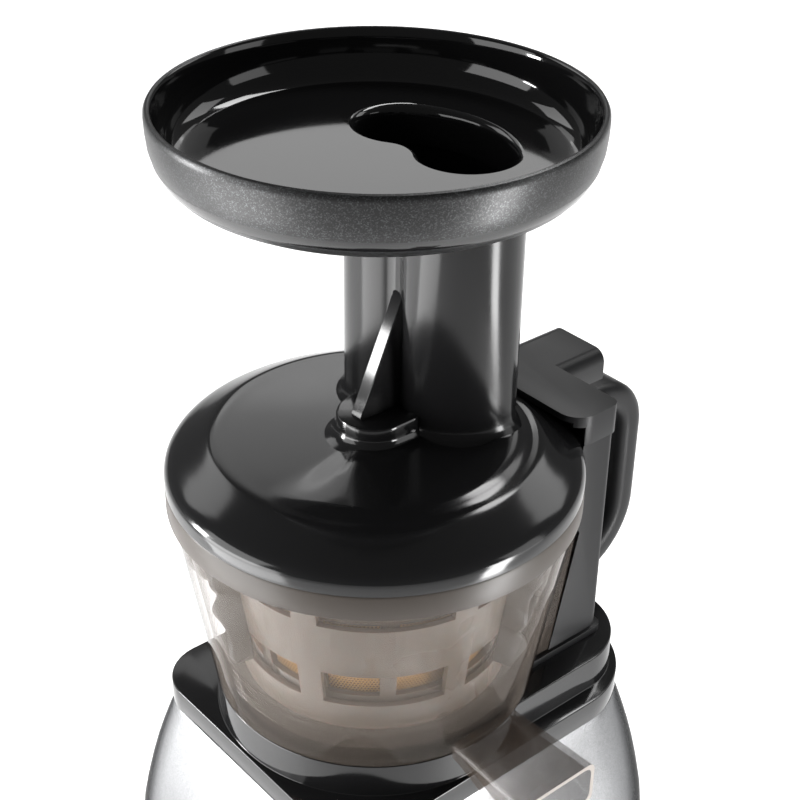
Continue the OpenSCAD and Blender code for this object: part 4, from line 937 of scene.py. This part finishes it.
def grown(plan, grow):
    """The boss's plan, grown evenly about its middle."""
    return [(x * (1 + grow / BOSS_HALF_X), BOSS_Y + (y - BOSS_Y) * (1 + grow / BOSS_HALF_Y))
            for x, y in plan]


boss = capped("lid_boss", [ring(grown(boss_plan, grow), z) for grow, z in (
    (4.4, 276.7), (3.2, 277.6), (2, 278.5), (0.9, 279.6), (0.2, 281), (0, 282.6), (0, 285.6),
    (-0.25, 286.2), (-0.9, 286.5))])
bush_seat = turned("lid_bush_seat", [(7.6, 265), (10, 265), (10, 276.4), (7.6, 276.4)], 64)
dress(joined([lid, boss, bush_seat], "lid_dome"), "lid_black", "lid_set", "lid",
      slot="charcoal_satin")

# %% [markdown]
# ## Feed chute
# The chute is a kidney-shaped tube that flares in a small fillet where it meets the lid. An
# extruded plan would be the quick way, but the front of its right lobe draws back towards the
# foot, so the tube is skinned, and each ring gets its own share of that draft. In front a thin
# triangular fin ties the chute to the boss.

# %% Skin the chute and its fin
FACING = (0.76, -0.65)  # where the right lobe's front looks
DRAFT, DRAFT_FROM, DRAFT_TALL, DRAFT_EDGE = 9.5, 365, 86, 2


def chute_ring(grow, z):
    """The kidney at a height, with the right lobe's front drawn back by the draft."""
    pull = DRAFT * clamped((DRAFT_FROM - z) / DRAFT_TALL)
    plan = []
    for x, y in kidney(grow):
        reach = max(0, (x - LOBE_X) * FACING[0] + (y - CHUTE_Y) * FACING[1]) / (LOBE + grow)
        share = pull * reach if x > DRAFT_EDGE else 0
        plan.append((x - share * FACING[0], y - share * FACING[1]))
    return ring(plan, z)


chute_rings = [(3.4, 276.9), (2.4, 278.2), (1.3, 279.6), (0.5, 281.2), (0.1, 283), (0, 285.5),
               (0, 300), (0, 325), (0, 350), (0, 372), (0, 378.6), (-0.6, 379.2), (-2.4, 379.3),
               (-3, 378.8), (-3, 350), (-3, 300), (-3, 270), (-2, 268.4), (-0.2, 268.4),
               (-0.1, 274)]
chute = skinned("chute_tube", [chute_ring(grow, z) for grow, z in chute_rings], around=True)
fin_side = [(10.6, 286.2), (-9.2, 286.2), (-9.4, 287.4), (9.4, 330.2), (10.2, 330.8),
            (10.8, 330.2)]
fin = capped("chute_fin", [[at(x, y, z) for y, z in fin_side] for x in (-2.0, 3.4)])
rounded(fin, 0.35, 2)
dress(joined([chute, fin], "chute_tube"), "chute_black", "lid_set", "feed_chute",
      slot="charcoal_satin")

# %% [markdown]
# ## Feed tray
# The tray is a thin round dish with a rim that is rolled to a bead. It is turned from one closed
# profile. A kidney-shaped opening leads into the chute: a Boolean cuts it, and a skinned neck
# gives it a rounded lip. The dish is satin outside and polished inside, as its mould is.

# %% Turn the dish and cut the opening
dish = [(0.01, 379.3), (50.6, 379.3), (52, 378.6), (54, 376.9), (57, 376.1), (60, 376),
        (63.6, 376.7), (66.8, 378.5), (69.5, 381.3), (71.3, 384.9), (72.4, 389), (72.85, 393.4),
        (73, 397.4), (72.9, 398.9), (72.4, 399.7), (71.6, 400), (70.9, 399.7), (70.4, 398.9),
        (70.1, 396), (69.6, 391.6), (68.7, 387.6), (67.2, 384.9), (65.3, 383), (63, 382),
        (60.4, 381.6), (57, 381.5), (0.01, 381.4)]
tray = turned("tray_dish", dish, 160)
cut(tray, capped("tray_opening", [ring(kidney(-2.0), z) for z in (370, 392)]))
neck_rings = [(-1.9, 381.42), (-2.3, 381.38), (-3.0, 381.1), (-3.7, 380.5), (-4.3, 379.4),
              (-4.6, 377.6), (-4.8, 374), (-4.8, 367.6), (-4.4, 367.3), (-3.8, 367.3),
              (-3.5, 367.8), (-3.5, 376), (-3.5, 379.6), (-1.9, 379.6)]
neck = skinned("tray_neck", [ring(kidney(grow), z) for grow, z in neck_rings], around=True)
tray = dress(joined([tray, neck], "tray_dish"), "charcoal_satin", "tray_set", "feed_tray")

# %% Polish the tray's inside
INSIDE_Z, BEAD_R, NECK_R = 380.6, 70.9, 50
tray.data.materials.append(finishes["tray_black"])
for face in tray.data.polygons:
    radius = (face.center.xy - AXIS.xy).length / MM
    if radius < NECK_R or (radius < BEAD_R and face.center.z > INSIDE_Z * MM):
        face.material_index = 1
print("polished faces:", sum(face.material_index for face in tray.data.polygons))

# %% [markdown]
# ## Pulp spout
# The dry pulp leaves through a flat smoked duct. It keeps its top level, drops its floor and
# grows a little wider towards the mouth. A box with a Solidify wall would fold in at the corners,
# so the outer rings and then the inner ones are skinned in one go.

# %% Skin the duct
SPOUT_ROOT, SPOUT_MOUTH, SPOUT_END = 64.5, 101, 100.6
SPOUT_WALL, SPOUT_CORNER, SPOUT_STEPS = 1.6, 3.4, 9


def duct(grow, start):
    """Rings from x = start to the mouth, in millimetres from the bowl's axis."""
    rings = []
    for i in range(SPOUT_STEPS + 1):
        x = start + (SPOUT_END - start) * i / SPOUT_STEPS
        share = max(0.0, (x - SPOUT_ROOT) / (SPOUT_MOUTH - SPOUT_ROOT))
        bottom, top = 174.35 - 10.3 * share - grow, 183 + grow
        middle, deep = (bottom + top) / 2, (top - bottom) / 2
        plan = oblong(15.5 + 2.1 * share + grow, deep, deep, SPOUT_CORNER, SPOUT_CORNER, 6)
        rings.append([at(x, u, middle + v) for u, v in plan])
    return rings


outside = duct(0, 62.5)
inside = duct(-SPOUT_WALL, 61.4)[::-1]
spout = skinned("pulp_duct", outside + inside, around=True)
rounded(spout, 0.8, 3, 50)
dress(spout, "outlet_clear", "bowl_set", "pulp_spout", slot="smoked_clear")

# %% Pale mouth and dark corners
MOUTH_X, SLANT = 100.3, 0.62
spout.data.materials.append(finishes["outlet_rim"])
spout.data.materials.append(finishes["outlet_edge"])
for face in spout.data.polygons:
    if face.center.x > AXIS.x + MOUTH_X * MM:
        face.material_index = 1
    elif min(abs(face.normal.y), abs(face.normal.z)) > SLANT:
        face.material_index = 2
print("faces at the mouth:", sum(face.material_index == 1 for face in spout.data.polygons))

# %% [markdown]
# ## Juice outlet
# A round nozzle on the other side ends in a flange, and a hinged round flap closes it. Both are
# right in the solids, so copies of them get soft edges and the smoked finish.

# %% Soften the nozzle and the flap
nozzle = softened("juice_nozzle", 0.5, 2)
dress(nozzle, "outlet_clear", "bowl_set", "juice_nozzle", slot="smoked_clear")
flap = softened("juice_flap", 0.5, 2)
dress(flap, "outlet_clear", "outlet_flap", "juice_flap", slot="smoked_clear")

# %% [markdown]
# ## Strainer and brush
# Inside the bowl a frame turns round the strainer. Both are open cages of frosted plastic, and
# through their windows one sees the tan sheet. The cages are true in the solids, so their bars
# only get round edges.

# %% Soften the strainer and the brush
dress(softened("strainer_frame", 0.4, 2), "clear_grey", "bowl_set", "strainer_frame")
dress(softened("brush_frame", 0.5, 2), "clear_grey", "wiping_brush", "brush_frame")

# %% [markdown]
# ## Wipers
# The brush drags silicone wipers over the bowl and the sheet. Each is a soft ribbon with lobes
# that press on the bowl's wall. A flat strip with a wave modifier would lose its foot, so each
# ribbon is skinned from the top down, and every ring swings to the side and reaches out by its
# own amount.

# %% Skin the wipers
WIPER_TOP, WIPER_TALL, WIPER_STEPS, WIPER_HALF_THICK = 244, 50, 40, 2
WIPER_GAP, LOBE_DEEP, SWING = 0.7, 2.2, 4.2


def brush_r(z):
    """Outside the strainer's cone come a gap of 1.2 mm and the brush's wall of 2.4 mm."""
    return 47 + 8 * (z - 190) / 58 + 1.2 + 2.4


def wiper(angle):
    """angle is in degrees about the axis; three waves give the lobes and their swing."""
    turned_by = math.radians(angle)
    rings = []
    for i in range(WIPER_STEPS + 1):
        share = i / WIPER_STEPS
        z = WIPER_TOP - WIPER_TALL * share
        swing = SWING * math.sin(share * math.pi * 3) * (0.4 + i / 60)
        lobe = LOBE_DEEP * (0.5 + 0.5 * math.cos(share * math.pi * 6))
        reach = bowl_r(z) - BOWL_WALL - WIPER_GAP - lobe
        start = brush_r(z) - 0.2
        thick = WIPER_HALF_THICK if i < 38 else WIPER_HALF_THICK - 0.5 * (i - 37)
        points = []
        for radius, side in ((start, -thick), (reach - 1, -thick * 0.8), (reach, 0),
                             (reach - 1, thick * 0.8), (start, thick)):
            tangent = side + swing * (radius - start) / (reach - start)
            x = radius * math.cos(turned_by) - tangent * math.sin(turned_by)
            y = radius * math.sin(turned_by) + tangent * math.cos(turned_by)
            points.append(at(x, y, z))
        rings.append(points)
    return capped("wiper", rings, 60)


wipers = joined([wiper(angle) for angle in (-100, 20, 140)], "brush_wipers")
dress(wipers, "silicone_brown", "wiping_brush", "wiper_blades")
